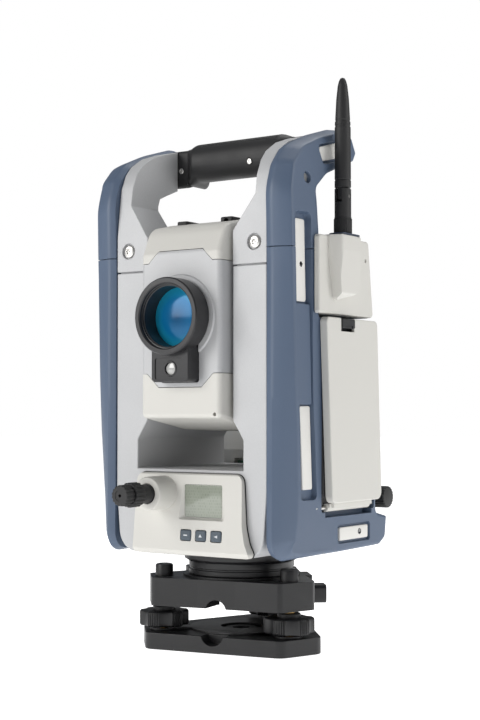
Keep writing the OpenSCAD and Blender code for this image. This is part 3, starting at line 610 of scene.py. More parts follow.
STRIPS = [(outline([(-51, 122.6, 1.5), (-38.1, 122.6, 1.5), (-41.3, 182.4, 1.5), (-54.9, 182.4, 1.5)]),
           5.4, 1.9),
          (outline([(-59.4, 256.8, 2), (-46.4, 256.8, 2), (-48.4, 316, 2), (-60.9, 316, 2)]), 5.4, 1.9),
          (slab(-4.5, 83.5, 36.9, 93.2, 1.5), 2.6, 2.2),
          (outline([(-22.1, 361.8, 2), (3, 368, 2), (3, 380, 2), (-28.1, 371.2, 2)]), 5.6, 2.0)]
DOTS = [(-52.8, 283.5, 2.0, 3.4), (24.2, 88.7, 2.3, 0.15)]


def inlay_set():
    """All strips and sensors of the +X side."""
    made = [painted(soften(prism("strip", p, "x", COVER_OUT - floor, COVER_OUT - floor + t, 0.5), 0),
                    INLAY)
            for p, floor, t in STRIPS]
    for y, z, r, depth in DOTS:
        profile = [(0, COVER_OUT - depth - 2), (r, COVER_OUT - depth - 2), (r, COVER_OUT - depth - 0.1),
                   (r - 0.3, COVER_OUT - depth + 0.1), (r * 0.6, COVER_OUT - depth - 0.1),
                   (0, COVER_OUT - depth - 0.1)]
        made.append(painted(soften(lathe("sensor", profile, "x", (0, y, z), 32), 0), SCREEN))
    plug = lathe("plug", [(0, 86), (3.3, 86), (3.3, 87.0), (3.0, 87.4), (0, 87.4)], "x",
                 (0, -47, 346.5), 32)
    return made + [painted(soften(plug, 0), STEEL)]


right_inlays = inlay_set()
left_inlays = [twin(piece, "strip_left") for piece in right_inlays]
inlays = join("cover_strips", right_inlays + left_inlays)
carry(inlays, "alidade", "inlay_plastic", "cover_inlays")
print("inlays:", len(inlays.data.polygons), "faces")

# %% [markdown]
# ## Silver castings
# The yoke and its two upper brackets are machined castings with flat faces and crisp rims. Their
# frame shapes are right already, so a merged copy only gets its edges broken and a metallic paint.

# %% Yoke and brackets
yoke = dress(from_cad("yoke_casting", "yoke_frame", 0.9, 3), SILVER, "alidade", "silver_paint",
             "yoke_frame")
for side in ("left", "right"):
    dress(from_cad(f"bracket_casting_{side}", f"upper_bracket_{side}", 0.9, 3), SILVER, "alidade",
          "silver_paint", f"upper_bracket_{side}")
print("yoke:", len(yoke.data.polygons), "faces")

# %% [markdown]
# ## Telescope
# The telescope's casing is one smooth body: a side outline carried across its width, with a large
# rim so that its sides roll into the front, the top and the back. It is then parted along the
# seams into the silver front plate, two light covers and the dark middle.

# %% The whole casing and its seams
SCOPE_SIDE = [(-80, -73.5, 4), (-80, 47, 6), (-71, 67.5, 14), (-46, 73.2, 22), (50, 72.6, 18),
              (70, 61, 12),
              (75, 46, 9), (75, -48, 9), (62, -76, 14), (40, -82, 14), (10, -84.2, 40),
              (-30, -82.5, 30)]
casing = prism("casing", outline(SCOPE_SIDE, steps=8) + np.array([0, TILT_Z]), "x", -36, 36, rim=3.6,
               steps=5)
GAP = 0.5
PLATE_REAR = -60.2
PLATE_FRONT = np.array([(-40, -41), (-30, -41), (-19.5, -51), (19.5, -51), (30, -41), (40, -41),
                        (40, 40.3),
                        (29, 40.3), (20, 49.1), (-20, 49.1), (-29, 40.3), (-40, 40.3)], float)


def front_cut(points, low=-90, high=PLATE_REAR):
    """Cutting tool from a front-view polygon, whose heights are measured from the tilting axis."""
    points = points + np.array([0, TILT_Z])
    return stack("tool", [place(points, "y", low), place(points, "y", high)])


def grown(points, up):
    """The plate's polygon, moved up or down by the seam's width."""
    return points + np.array([0, up])


top = carve(clone(casing, "top_cover"), block((-60, -100, 0), (60, 100, TILT_Z + 36)),
            front_cut(grown(PLATE_FRONT, GAP)),
            block((-60, PLATE_REAR - 0.01, 0), (60, 100, TILT_Z + 48.5)))
bottom = carve(clone(casing, "bottom_cover"), block((-60, -100, TILT_Z - 36), (60, 100, 400)),
               front_cut(grown(PLATE_FRONT, -GAP)),
               block((-60, PLATE_REAR - 0.01, TILT_Z - 52.3), (60, 100, 400)))
front = keep_inside(clone(casing, "front_plate"), front_cut(PLATE_FRONT))
middle = keep_inside(casing, block((-60, PLATE_REAR + GAP, TILT_Z - 51.8), (60, 90, TILT_Z + 48)))
middle.name = "casing_sides"
print("telescope parts:", [len(p.data.polygons) for p in (top, bottom, front, middle)])

# %% [markdown]
# ### Front plate, covers and axles
# The plate carries a low pad behind the lens hood and a pocket for the tracker. The dark middle
# is bored from front to back, and the trunnion axles stand out of its sides.

# %% Finishing the telescope's casing
carve(front, rod(25.1, -95, -50, "y", OPTICS, 96))
pad = lathe("tool", [(25.1, -79), (25.1, -81.0), (30.6, -81.0), (32.0, -79.6), (32.0, -79)], "y",
            OPTICS, 96, closed=True)
weld(front, pad)
carve(front, prism("tool", slab(-17.4, TILT_Z - 48, 17.4, TILT_Z - 12, 2), "y", -92, -73, 0.01))
dress(soften(front, 0.45), SILVER, "telescope", "silver_paint", "telescope_front")

sight_slot = block((13.9, -50.2, TILT_Z + 68.5), (26.1, 30.2, TILT_Z + 80))
left_slot = block((-26.5, -50.2, TILT_Z + 71.6), (-15.5, -30, TILT_Z + 80))
dress(soften(carve(top, sight_slot, left_slot), 0.5), GREY, "telescope", "grey_plastic",
      "telescope_top_cover")
carve(bottom, rod(1.4, -90, -70, "y", (31, 0, 176.5), 24))
dress(soften(bottom, 0.5), GREY, "telescope", "grey_plastic", "telescope_bottom_cover")

axle = lathe("axles", [(0, -60), (11, -60), (12, -59), (12, 59), (11, 60), (0, 60)], "x", OPTICS, 64)
weld(middle, axle)
carve(middle, rod(22, -70, 50, "y", OPTICS, 64),
      rod(8, 40, 90, "y", OPTICS, 48))
dress(soften(middle, 0.5), DARK, "telescope", "dark_plastic", "telescope_frame")

# %% [markdown]
# ### Lens hood, objective and tracker
# The hood is a turned ring with a chamfered mouth, and two baffle steps inside it. A small box
# hangs below the ring: its framed window is the eye of the target tracker. The objective is a
# shallow dome of coated glass, so it is turned too.

# %% Hood with its tracker box
hood = lathe("lens_hood_ring", [
    (27.3, -98), (28.2, -97.1), (28.2, -84.5), (27.0, -83.2), (27.0, -81.2), (25.0, -81.2), (25.0, -74),
    (22.1, -74), (22.1, -93.6), (22.9, -94.0), (22.9, -95.2), (23.6, -95.4), (23.6, -97.2),
                                (24.4, -98)],
    "y", OPTICS, 96, closed=True)
tracker_box = prism("tracker_box", slab(-17, TILT_Z - 47.6, 17, TILT_Z - 19.5, 3.2), "y", -92.2, -73.5,
                    0.4,
                    rim_low=1.2)
carve(tracker_box, rod(26.5, -99, -60, "y", OPTICS, 96))
frame_tool = prism("tool", slab(-13.6, TILT_Z - 45.6, 13.6, TILT_Z - 30.2, 1.6), "y", -94, -91.5, 0.01)
carve(tracker_box, frame_tool)
well = rod(4.7, -95, -87.2, "y", (0, 0, TILT_Z - 38), 48)
carve(tracker_box, well)
collar = lathe("tool", [(4.7, -91.0), (4.7, -92.0), (5.6, -92.0), (6.0, -91.6), (6.0, -91.0)], "y",
               (0, 0, TILT_Z - 38), 48, closed=True)
hood = join("lens_hood_body", [soften(hood, 0.0), soften(tracker_box, 0.3), soften(collar, 0.0)])
dress(hood, HOOD, "telescope", "black_plastic", "lens_hood")

# %% Objective and tracker window
LENS_R, LENS_SAG = 21.9, 3.4
r = np.linspace(0, LENS_R, 14)
dome = np.stack([r, -84 + LENS_SAG * (r / LENS_R) ** 2], -1)
back = np.array([[LENS_R, -77], [0, -77]])
lens = lathe("objective", np.vstack([dome, back]), "y", OPTICS, 72)
dress(soften(lens, 0.0, angle=50), coated_glass("objective_painted_reflection", TILT_Z * MM, LENS_R * MM),
      "telescope",
      "coated_glass", "objective_lens")
eye = np.linspace(0, 4.4, 8)
window = lathe("tracker_eye", np.vstack([np.stack([eye, -91.2 + 0.7 * (eye / 4.4) ** 2], -1),
                                         [[4.4, -88], [0, -88]]]),
               "y", (0, 0, TILT_Z - 38), 40)
dress(soften(window, 0.0, angle=50), TRACKER, "telescope", "tracker_glass", "tracker_window")

# %% [markdown]
# ### Sights and eyepiece
# A coarse sight is let into the top cover. The eyepiece is a knob with a knurled rim. A knurled
# or lobed rim is simplest in polar form: one array of radii goes round the knob, and insetting a
# rim is a subtraction, which can't fold the fine ridges over each other as a mitred inset could.

# %% Knurled and lobed rims
def knurl(radius, ridges, depth, per_ridge=6):
    """Radii round a knob: radius less a dip between ridges, squared off from a cosine."""
    t = np.linspace(0, 2 * np.pi, ridges * per_ridge, endpoint=False)
    return radius - depth * np.clip(0.5 + 0.9 * np.cos(ridges * t), 0, 1)


def fluted(name, radii, axis, centre, low, high, rim=0.8, bore=0.0, turn=0.0):
    """Radii carried from low to high, rims rounded by subtracting r(1 - sin t), and bored if asked."""
    t = np.linspace(0, 2 * np.pi, len(radii), endpoint=False) + turn
    a = np.linspace(0, np.pi / 2, 4)
    tuck = rim * np.concatenate([1 - np.sin(a), 1 - np.cos(a)])
    height = np.concatenate([low + rim * (1 - np.cos(a)), high - rim * (1 - np.sin(a))])
    r = radii[None, :] - tuck[:, None]
    if bore:
        r = np.vstack([r, np.full((2, len(radii)), bore)])
        height = np.concatenate([height, [high, low]])
    u, v = r * np.cos(t), r * np.sin(t)
    h = np.broadcast_to(height[:, None], u.shape)
    order = {"x": (h, u, v), "y": (u, h, v), "z": (u, v, h)}[axis]
    return stack(name, np.stack(order, -1) + np.asarray(centre, float), closed=bore > 0)


# %% Sights and eyepiece
rail = prism("sight_rail", slab(14.3, -49.7, 25.7, 29.7, 2), "z", TILT_Z + 68.6, TILT_Z + 75.9, 1.2)
carve(rail, rod(2.2, -60, 40, "y", (20, 0, TILT_Z + 72.4), 32))
stud = prism("sight_stud", slab(-26, -49.7, -16, -30.5, 2), "z", TILT_Z + 71.7, TILT_Z + 75.2, 0.8)
dress(join("coarse_sights", [soften(rail, 0.25), soften(stud, 0.25)]), GRIP, "telescope",
      "black_plastic",
      "sight_tubes")
rim = fluted("eyepiece_rim", knurl(17, 30, 0.7), "y", OPTICS, 75.5, 87.3, 0.9, bore=12.3)
cone = lathe("cone", [(5.2, 75.6), (5.2, 96), (8.6, 96.4), (9.6, 95.6), (12.4, 88), (12.6, 86),
                      (12.6, 75.6)], "y",
             OPTICS, 64, closed=True)
stem = rod(7.9, 62.2, 76, "y", OPTICS, 48)
eye_lens = lathe("eye_lens", [(0, 94.2), (4, 94.6), (5.3, 95.0), (5.3, 90), (0, 90)], "y", OPTICS, 40)
parts = [painted(soften(p, 0), m) for p, m in ((rim, GRIP), (cone, GRIP), (stem, GRIP),
                                               (eye_lens, SCREEN))]
eyepiece = join("eyepiece_knob", parts)
carry(eyepiece, "eyepiece", "black_plastic", "eyepiece_ring")

# %% [markdown]
# ## Front panel
# The display panel is a moulding with a nearly upright face. Its side outline is carried across
# the width and trimmed to the front outline, which spreads at its lower right corner. A thin dark
# gasket lies behind it. The display stands in a sloping frame, and the plummet's boss is turned.

# %% Panel body
PANEL_SIDE = [(-68.9, 73.7, 0), (-74.8, 73.7, 2.2), (-76.8, 77.2, 1.5), (-72, 133.2, 1.8),
              (-68.9, 133.2, 0)]
PANEL_FRONT = [(-46.3, 73.7, 3), (59.4, 73.7, 3), (54.2, 84, 12), (51.4, 96, 30), (49.4, 133.2, 6),
               (-45.4, 133.2, 6)]
front_line = outline(PANEL_FRONT)
panel = prism("display_panel", outline(PANEL_SIDE), "x", -60, 61, 0.01)
keep_inside(panel, prism("tool", front_line, "y", -90, -60, 0.01))

# %% Boss, display window and key wells
BOSS = (-20, 0, 118.6)
boss = lathe("boss", [(7.1, -70), (7.1, -92.6), (7.7, -93.3), (10.6, -93.4), (11.7, -92.9),
                      (12.3, -91.6),
                      (12.5, -88), (12.5, -70)], "y", BOSS, 64, closed=True)
carve(panel, rod(8.5, -95, -60, "y", BOSS, 48))
weld(panel, boss)
carve(panel, stack("tool", [place(slab(-7.8, 98.2, 39.0, 127.9, 3), "y", -77),
                            place(slab(-1.6, 101.2, 32.9, 125.6, 1.5), "y", -72.3)]),
      prism("tool", slab(-1.2, 101.4, 32.5, 125.4, 1.2), "y", -76, -60, 0.01))
KEY_X = [round(float((span(k)[0][0] + span(k)[1][0]) / 2), 1) for k in ("key_left", "key_middle",
                                                                        "key_right")]
KEY_Z = float((span("key_left")[0][2] + span("key_left")[1][2]) / 2)
for x in KEY_X:
    carve(panel, prism("tool", slab(x - 5.1, KEY_Z - 4.3, x + 5.1, KEY_Z + 4.3, 1.6), "y", -92, -60,
                       0.01))
gasket = prism("gasket", inset(front_line, -0.7), "y", -69.1, -68.6, 0.1)
panel = join("display_panel", [painted(soften(panel, 0.6), GREY), painted(soften(gasket, 0), BLACK)])
carry(panel, "alidade", "grey_plastic", "front_panel")
print("keys at", KEY_X, "height", round(KEY_Z, 1))

# %% Display and keys
pane = prism("display_pane", slab(-1, 101.6, 32.3, 125.2, 1), "y", -72.2, -71.6, 0.15)
LCD = display_panel("display_face", (-0.4 * MM, 102.2 * MM), (32.1 * MM, 22.4 * MM))
dress(soften(pane, 0), LCD, "alidade", "window_glass", "display_window")


def key_cap(name, x, mark):
    """Domed key with a soft rim, its flange behind the panel, and one small plain mark."""
    rings = [(4.7, 3.9, 1.4, -73), (4.7, 3.9, 1.4, -75.5), (4.5, 3.7, 1.3, -76.0),
             (4.0, 3.2, 1.2, -76.3),
             (2.4, 1.8, 1.0, -76.4)]
    cap = loft("cap", [(x - a, KEY_Z - b, x + a, KEY_Z + b, r, y) for a, b, r, y in rings], "y")
    flange = prism("flange", slab(x - 5.6, KEY_Z - 5.2, x + 5.6, KEY_Z + 5.2, 0.8), "y", -73, -71.7,
                   0.2)
    sign = prism("sign", mark + np.array([x, KEY_Z]), "y", -76.5, -75.8, 0.01)
    parts = [painted(soften(cap, 0), KEYS), painted(soften(flange, 0), KEYS),
             painted(soften(sign, 0), MARK)]
    return join(name, parts)


DASH = slab(-1.7, -0.45, 1.7, 0.45, 0.3)
WEDGE = np.array([(-1.5, -1.0), (1.5, -1.0), (0, 1.3)], float)
ARROW = np.array([(1.5, -1.1), (1.5, 1.1), (-1.5, 0)], float)
for name, x, mark, body in zip(("key_left", "key_middle", "key_right"), KEY_X, (DASH, WEDGE, ARROW),
                               ("front_key_left", "front_key_middle", "front_key_right")):
    cap = key_cap(f"{name}_cap", x, mark)
    carry(cap, body, "key_plastic", name)

# %% [markdown]
# ## Optical plummet
# A short black tube with a knurled focusing ring and a knurled eyepiece stands on the boss. Each
# is a turned or a knurled part, and each rides on its own body, because both rings turn.

# %% Plummet
tube = lathe("plummet_tube", [(1.5, -74.2), (1.5, -118.5), (2.8, -122.6), (3.9, -122.8), (3.9, -104),
                              (6.2, -104), (6.9, -103.2),
                              (6.9, -96.4), (6.6, -96.0), (6.6, -95.4), (6.9, -95.0), (6.9, -74.2)],
             "y",
             BOSS, 48, closed=True)
dress(soften(tube, 0), GRIP, "alidade", "black_plastic", "plummet_barrel")
ring = fluted("plummet_focus_knob", knurl(9, 18, 0.6), "y", BOSS, -114.9, -104.6, 0.8, bore=4.15)
dress(soften(ring, 0), GRIP, "plummet_focus", "black_plastic", "plummet_focus_ring")
cup = fluted("plummet_ocular_cup", knurl(7.6, 16, 0.5), "y", BOSS, -124.4, -115.4, 0.9, bore=4.15)
lid = lathe("lid", [(1.2, -124.1), (1.2, -123.1), (5.6, -123.1), (5.6, -124.1)], "y", BOSS, 48,
            closed=True)
cup = join("plummet_ocular_cup", [soften(cup, 0), soften(lid, 0)])
dress(cup, GRIP, "plummet_ocular", "black_plastic", "plummet_eyepiece")

# %% [markdown]
# ## Radio housing and antenna
# The radio's box stands proud of the blue cover. A wedge on it carries the antenna: it is a prism
# of its plan outline, trimmed to its side outline and to its front outline.

# %% Radio box and wedge
MAST = (97.6, -11, 0)
base = prism("radio_base", outline([(-30.2, 249.2), (37, 249.2), (30, 307), (-30.2, 307)], 1), "x",
             COVER_IN,
             91.3, 0.3)
box = prism("radio_box", outline([(-41, 249.4, 2), (38, 249.4, 3), (31, 307, 3), (-41, 306.2, 3)],
                                 steps=5), "x",
            91.25, 95.6, 1.5, rim_low=0.4)
wedge = prism("radio_wedge", outline([(88, -29, 0), (97, -29, 2), (106, -25, 3), (106, 1, 3),
                                      (97, 12, 2), (88, 13, 0)]),
              "z", 258.5, 306.8, 0.8)
keep_inside(wedge, prism("tool", outline([(-31, 307, 1), (13, 307, 1), (11, 300, 1), (3, 266, 3),
                                          (-22, 259, 3),
                                          (-30, 300, 1)]), "x", 80, 110, 0.01))
keep_inside(wedge, prism("tool", outline([(86, 258, 0), (95.5, 258, 1), (103.5, 264, 3), (106, 296, 8),
                                          (106, 307, 0),
                                          (86, 307, 0)]), "y", -40, 20, 0.01))
radio = weld(base, box, wedge)
carve(radio, rod(6.2, 299, 320, "z", MAST, 48),
      lathe("tool", [(0, 92.6), (1.3, 92.6), (1.6, 97), (0, 97)], "x", (0, 26, 292), 24),
      block((90, -12, 307.0), (104, 12, 320)))
radio.name = "radio_box"
dress(soften(radio, 0.3), GREY, "alidade", "grey_plastic", "radio_housing")

# %% Socket plate
socket = prism("socket_lid", slab(91.7, -22.8, 105.1, 2.8, 3), "z", 306.95, 308.55, 0.5)
brass = lathe("brass", [(1.6, 299.2), (3.8, 299.2), (3.8, 307.8), (1.6, 307.8)], "z", MAST, 32,
              closed=True)
carve(socket, rod(4, 300, 320, "z", MAST, 40))
lid = join("socket_lid", [painted(soften(socket, 0.2), PLATE), painted(soften(brass, 0), BRASS)])
carry(lid, "alidade", "socket_plate", "antenna_socket")

# %% [markdown]
# ### Whip antenna
# The antenna screws into a socket, turns on its collar and folds at a hinge. The collar's nut is
# knurled, and a fork stands on its barrel. The whip is a turned taper with two fine grooves.

# %% Collar and whip
FOLD_Z = 336
nut = fluted("nut", knurl(6.75, 26, 0.3), "z", MAST, 309.0, 319.7, 0.5, bore=4.35)
barrel = lathe("barrel", [(1.5, 311.7), (4.3, 311.7), (4.3, 319.8), (6.35, 319.8), (6.35, 320.6),
                          (6.1, 320.9), (6.1, 331.6),
                          (5.8, 332.0), (1.5, 332.0)], "z", MAST, 48, closed=True)
pin = rod(1.4, 304.2, 333, "z", MAST, 24)
prongs = [prism("prong", outline([(-17.3, 331.5, 0), (-6, 331.5, 0), (-6, 340.9, 4.8), (-11, 341.7, 2),
                                  (-17.3, 341.8, 0)], steps=8), "x",
                x, x + 3.8, 0.01) for x in (MAST[0] - 6.2, MAST[0] + 2.4)]
bore = rod(1.6, 80, 120, "x", (0, MAST[1], FOLD_Z), 24)
fork = carve(weld(prongs[0], prongs[1]), bore)
fork = keep_inside(fork, rod(6.1, 325, 345, "z", MAST, 64))
parts = [painted(soften(nut, 0), GRIP), painted(soften(barrel, 0), GRIP),
         painted(soften(pin, 0), BRASS),
         painted(soften(fork, 0.2), GRIP)]
collar = join("antenna_swivel", parts)
carry(collar, "antenna_base", "black_plastic", "antenna_collar")
whip = lathe("whip", [(0, 342.2), (5.2, 342.2), (6.05, 343.0), (6.05, 347.6), (5.7, 348.0),
                      (5.7, 348.5), (6.0, 348.9),
                      (5.9, 387.2), (5.5, 387.6), (5.5, 388.8), (5.8, 389.0), (5.7, 391.3),
                      (5.3, 391.5),
                      (5.3, 392.5), (5.5, 392.8), (4.7, 408), (3.6, 418), (2.7, 421.6), (1.6, 423.6),
                      (0, 424.3)],
             "z", MAST, 48)
tongue = prism("tongue", outline([(-15.2, 331.7, 4.2), (-6.8, 331.7, 4.2), (-6.8, 342.4, 0),
                                  (-15.2, 342.4, 0)], steps=8), "x",
               MAST[0] - 2.1, MAST[0] + 2.1, 0.3)
axle = rod(1.5, MAST[0] - 5.4, MAST[0] + 5.4, "x", (0, MAST[1], FOLD_Z), 24)
whip = join("whip_antenna", [painted(soften(whip, 0), GRIP), painted(soften(tongue, 0), GRIP),
                             painted(soften(axle, 0), STEEL)])
carry(whip, "antenna", "black_plastic", "antenna_whip")

# %% [markdown]
# ## Battery door and service housing
# The door is a thin moulding with softly rounded rims and a shallow panel line, hinged along its
# foot and held by a dark latch. The other side carries a fixed housing of the same section.

# %% Door with its latch
door = prism("battery_door_shell", outline([(-26, 112, 6), (47, 112, 6), (41, 247, 4), (-33.5, 247, 4)],
                                           steps=6), "x",
             COVER_OUT + 0.35, DOOR_OUT, 1.0, steps=4, rim_low=0.3)
carve(door, prism("tool", outline([(-21, 116), (43, 116), (38, 243), (-29, 243)], 3), "x",
                  COVER_OUT - 2,
                  DOOR_OUT - 2.2, 0.01))
knuckle = lathe("knuckle", [(1.6, -21.8), (2.6, -21.8), (3, -21.4), (3, 39.4), (2.6, 39.8),
                            (1.6, 39.8)], "y",
                (88, 0, 108.6), 32, closed=True)
web = block((88.6, -21.6, 108.8), (92.1, 39.6, 111.5))
carve(web, rod(2.4, -30, 50, "y", (88, 0, 108.6), 32))
weld(door, knuckle, web, block((91.35, -19, 108.8), (94, 37, 116.5)))
carve(door, block((88, -13.6, 237.1), (110, 5.6, 250)))
dress(soften(door, 0.3), GREY, "door", "grey_plastic", "battery_door")
latch = prism("door_latch", slab(-13.2, 239.5, 5.2, 246.5, 1.2), "x", 92.1, 98.6, 0.7)
carve(latch, prism("tool", slab(-10, 236, 2, 241.6, 0.8), "x", 97.8, 101, 0.01),
      block((90, -11, 238), (94, 3, 244)))
dress(soften(latch, 0.25), GRIP, "latch", "black_plastic", "battery_latch")

# %% Service housing on the other side
plate = prism("service_plate", outline([(-30.2, 249.2), (37, 249.2), (30, 307), (-30.2, 307)], 1), "x",
              -91.3, -COVER_IN, 0.3)
lower = prism("lower", slab(-28.5, 105.7, 45.4, 244.5, 2), "x", -91.3, -COVER_IN, 0.3)
outer = prism("outer", outline([(-26, 110, 6), (47, 110, 6), (31, 307, 4), (-41, 306, 4)], steps=6),
              "x", -96, -91.2, 0.4,
              steps=5, rim_low=1.8)
service = weld(plate, lower, outer)
carve(service, prism("tool", slab(-60, 247.6, 60, 248.4, 0.1), "x", -99, -95.2, 0.01),
      prism("tool", slab(-12, 241, 8, 247.8, 2), "x", -99, -95.0, 0.01))
service.name = "service_box"
dress(soften(service, 0.3), GREY, "alidade", "grey_plastic", "service_housing")

# %% [markdown]
# ## Carrying handle and screws
# The grip is a black tube between two blocks. Its section runs from the block's flat rectangle to
# a nearly round one over a few millimetres, so it is a loft whose sizes follow half a cosine. The
# screws are turned buttons with a six-lobed socket.

# %% Grip
GRIP_Z = 375.3


def grip_section(share):
    """Rounded rectangle (y0, z0, y1, z1, radius) between the block's flat end and the round grip."""
    flat, full = np.array([-6.7, 358.0, 20.5, 387.0, 4]), np.array([-15, GRIP_Z - 15, 15, GRIP_Z + 15,
                                                                    14.2])
    return flat + (full - flat) * (1 - math.cos(math.pi * share)) / 2


sections = [(*grip_section(s), -48 + 11 * s) for s in np.linspace(0, 1, 11)]
sections += [(*grip_section(s), 50 - 11 * s) for s in np.linspace(1, 0, 11)]
grip = loft("carrying_grip", sections, "x", 9)
carve(grip, block((-44, -17, 386.6), (46, -9.1, 387.2)), block((-44, 9.1, 386.6), (46, 17, 387.2)),
      rod(2.9, -20, -13.9, "y", (17, 0, 370), 32))
END = [(-6.8, 355.5, 3), (22, 364, 3), (22, 384.5, 3), (12, 388.5, 3), (-6.8, 386, 3)]
ends = [prism("grip_end", outline(END, steps=5), "x", a, b, 0.8) for a, b in ((-68, -47.5), (49.5, 68))]
weld(grip, *ends)
dress(soften(grip, 0.3), GRIP, "alidade", "black_plastic", "handle_grip")


# %% Button screws
def button(name, x, y, z, radius, depth, lobes=0.22):
    """Low button head facing the front, with a six-lobed socket."""
    profile = [(0, y), (radius * 0.72, y), (radius * 0.95, y + radius * 0.12),
               (radius, y + radius * 0.26),
               (radius, y + depth), (0, y + depth)]
    head = lathe(name, profile, "y", (x, 0, z), 40)
    t = np.linspace(0, 2 * np.pi, 48, endpoint=False)
    r = radius * (0.42 + 0.42 * lobes * np.cos(6 * t))
    star = np.stack([x + r * np.cos(t), z + r * np.sin(t)], -1)
    return carve(head, prism("tool", star, "y", y - 1, y + min(depth * 0.7, 1.3), 0.01))


heads = [button("head", s * 57.6, -68.7, 300.3, 4.85, 2.3) for s in (-1, 1)]
heads += [button("head", -53.5, -7.5, 370, 2.4, 0.7), button("head", 17, -15.1, 370, 2.4, 1.2)]
screws = join("button_screws", [painted(soften(h, 0), STEEL) for h in heads])
carry(screws, "alidade", "steel", "casing_screws")

# %% [markdown]
# ## Tribrach
# The tribrach is a black die casting on three screws. Plate, body and level keep their frame
# shape with wider broken edges. The levelling knobs are lobed: their radius falls in a scallop
# between six lobes, and every lobe has its own few grooves for the finger.

# %% Castings
dress(from_cad("base_casting", "base_plate", 0.8, 2), BLACK, "tribrach", "black_metal", "base_plate")
dress(from_cad("spring_leaf", "spring_plate", 0.3, 2), SPRING, "tribrach", "spring_steel",
      "spring_plate")
dress(from_cad("tribrach_casting", "tribrach_body", 1.1, 3), BLACK, "tribrach", "black_metal",
      "tribrach_body")
dress(from_cad("level_cup", "level_housing", 0.6, 2), BLACK, "tribrach", "black_metal", "level_housing")

# %% Levelling knobs and caps
TURN = math.radians(10.25)
SCREW_R = 59.7


def knob_radii(radius, lobes=6, count=720):
    """Radius less a scallop between lobes, and less fine grooves where the lobe is full."""
    t = np.linspace(0, 2 * np.pi, count, endpoint=False)
    wave = np.cos(lobes * t)
    scallop = 1.9 * np.clip((0.05 - wave) / 1.05, 0, 1) ** 0.8
    groove = 0.6 * np.clip(np.cos(lobes * 11 * t) * 1.6, 0, 1) * np.clip((wave - 0.25) * 6, 0, 1)
    return radius - scallop - groove


caps = []
for angle, side in ((210, "left"), (330, "right"), (90, "rear")):
    a = math.radians(angle) + TURN
    at = (SCREW_R * math.cos(a), SCREW_R * math.sin(a), 0)
    knob = fluted("knob", knob_radii(18.8), "z", at, 15.5, 26.9, 1.5, turn=a)
    hub = lathe("hub", [(0, 26.5), (8.6, 26.5), (8.6, 29.6), (8.0, 30.2), (0, 30.2)], "z", at, 40)
    stem = rod(4.4, 30, 48.8, "z", at, 32)
    foot = lathe("foot", [(0, 6.2), (2.4, 6.9), (3.8, 9), (3.9, 10.6), (3.1, 12.4), (3.1, 15.8),
                          (0, 15.8)], "z", at, 32)
    parts = [painted(soften(knob, 0), BLACK), painted(soften(hub, 0), BLACK),
             painted(soften(stem, 0), BRASS),
             painted(soften(foot, 0), BRASS)]
    screw = join(f"levelling_knob_{side}", parts)
    carry(screw, f"screw_{side}", "black_metal", f"levelling_screw_{side}")
    caps.append(lathe("cap", [(0, 53), (6.8, 53), (6.8, 60.6), (6.3, 61.7), (5.2, 62.1), (0, 62.1)],
                      "z", at, 40))
caps = join("screw_cap_set", [soften(c, 0) for c in caps])
dress(caps, BLACK, "tribrach", "black_metal", "screw_caps")

# %% Lock, level and flange
lock = from_cad("lock_lever", "lock_knob", 0.9, 3)
dress(lock, BLACK, "lock", "black_metal", "lock_knob")
a = math.radians(150) + TURN
at = (58 * math.cos(a), 58 * math.sin(a), 0)
vial = lathe("vial", [(0, 45.1), (8.0, 45.1), (8.0, 52.4), (6.6, 53.4), (3.4, 53.9), (0, 54.0)], "z",
             at, 40)
mark = lathe("mark", [(3.0, 53.4), (3.4, 53.4), (3.4, 54.02), (3.0, 54.05)], "z", at, 40, closed=True)
level = join("level_vial_glass", [painted(soften(vial, 0), VIAL), painted(soften(mark, 0), BLACK)])
carry(level, "tribrach", "vial_glass", "level_vial")
flange = lathe("flange", [(14, 62), (14, 46.6), (34, 46.6), (34, 54.5), (40.0, 54.5), (40.6, 55.1),
                          (40.6, 58.3), (39.8, 58.9),
                          (39.8, 59.7), (40.6, 60.3), (40.6, 63.8), (41.0, 64.6), (43.8, 66.2),
                          (44.2, 66.9), (44.2, 72.1),
                          (43.8, 72.6), (24, 72.6), (24, 62)], "z", (0, 0, 0), 96, closed=True)
studs = [lathe("stud", [(0, 38.2), (1.5, 38.2), (1.9, 38.8), (1.9, 47), (0, 47)], "z",
               (30 * math.cos(math.radians(d) + TURN), 30 * math.sin(math.radians(d) + TURN), 0),
               24) for d in (210, 330, 90)]
parts = [painted(soften(flange, 0), BLACK)] + [painted(soften(s, 0), STEEL) for s in studs]
flange = join("flange_ring", parts)
carry(flange, "tribrach", "black_metal", "base_flange")

# %% [markdown]
# ## Rear controls
# The rear panel leans back towards the operator. It keeps its frame shape, with its edges broken.
# The keys get soft rims, and the two drive knobs get a fluted grip.

# %% Rear panel, keys and knobs
dress(from_cad("control_console", "control_panel", 0.9, 3), GREY, "alidade", "grey_plastic",
      "control_panel")
for node, name in (("power_key", "power_key_cap"), ("menu_key", "menu_key_cap"),
                   ("enter_key", "enter_key_cap")):
    dress(from_cad(name, node, 0.7, 3), KEYS, f"rear_{node}", "key_plastic", node)
for side, node in ((1, "horizontal_knob"), (-1, "vertical_knob")):
    parts = [fluted("grip", knurl(8.5, 20, 0.5), "x", (0, 78, 111.5), 66.5, 86.3, 1.2),
             rod(4.0, 58.6, 67, "x", (0, 78, 111.5), 32)]
    parts = [soften(p, 0) for p in parts]
    knob = join(f"{node}_grip", parts)
    if side < 0:
        mirrored = twin(knob, f"{node}_grip")
        bpy.data.objects.remove(knob)
        mirrored.name = f"{node}_grip"
        knob = mirrored
    dress(knob, GRIP, f"knob_{node.split('_')[0]}", "black_plastic", node)

# %% [markdown]
# ## Inner parts
# Bearings, motors, the board and the pack keep their frame solids. They still get real finishes,
# because they show when the door swings open or when the casing is taken apart.

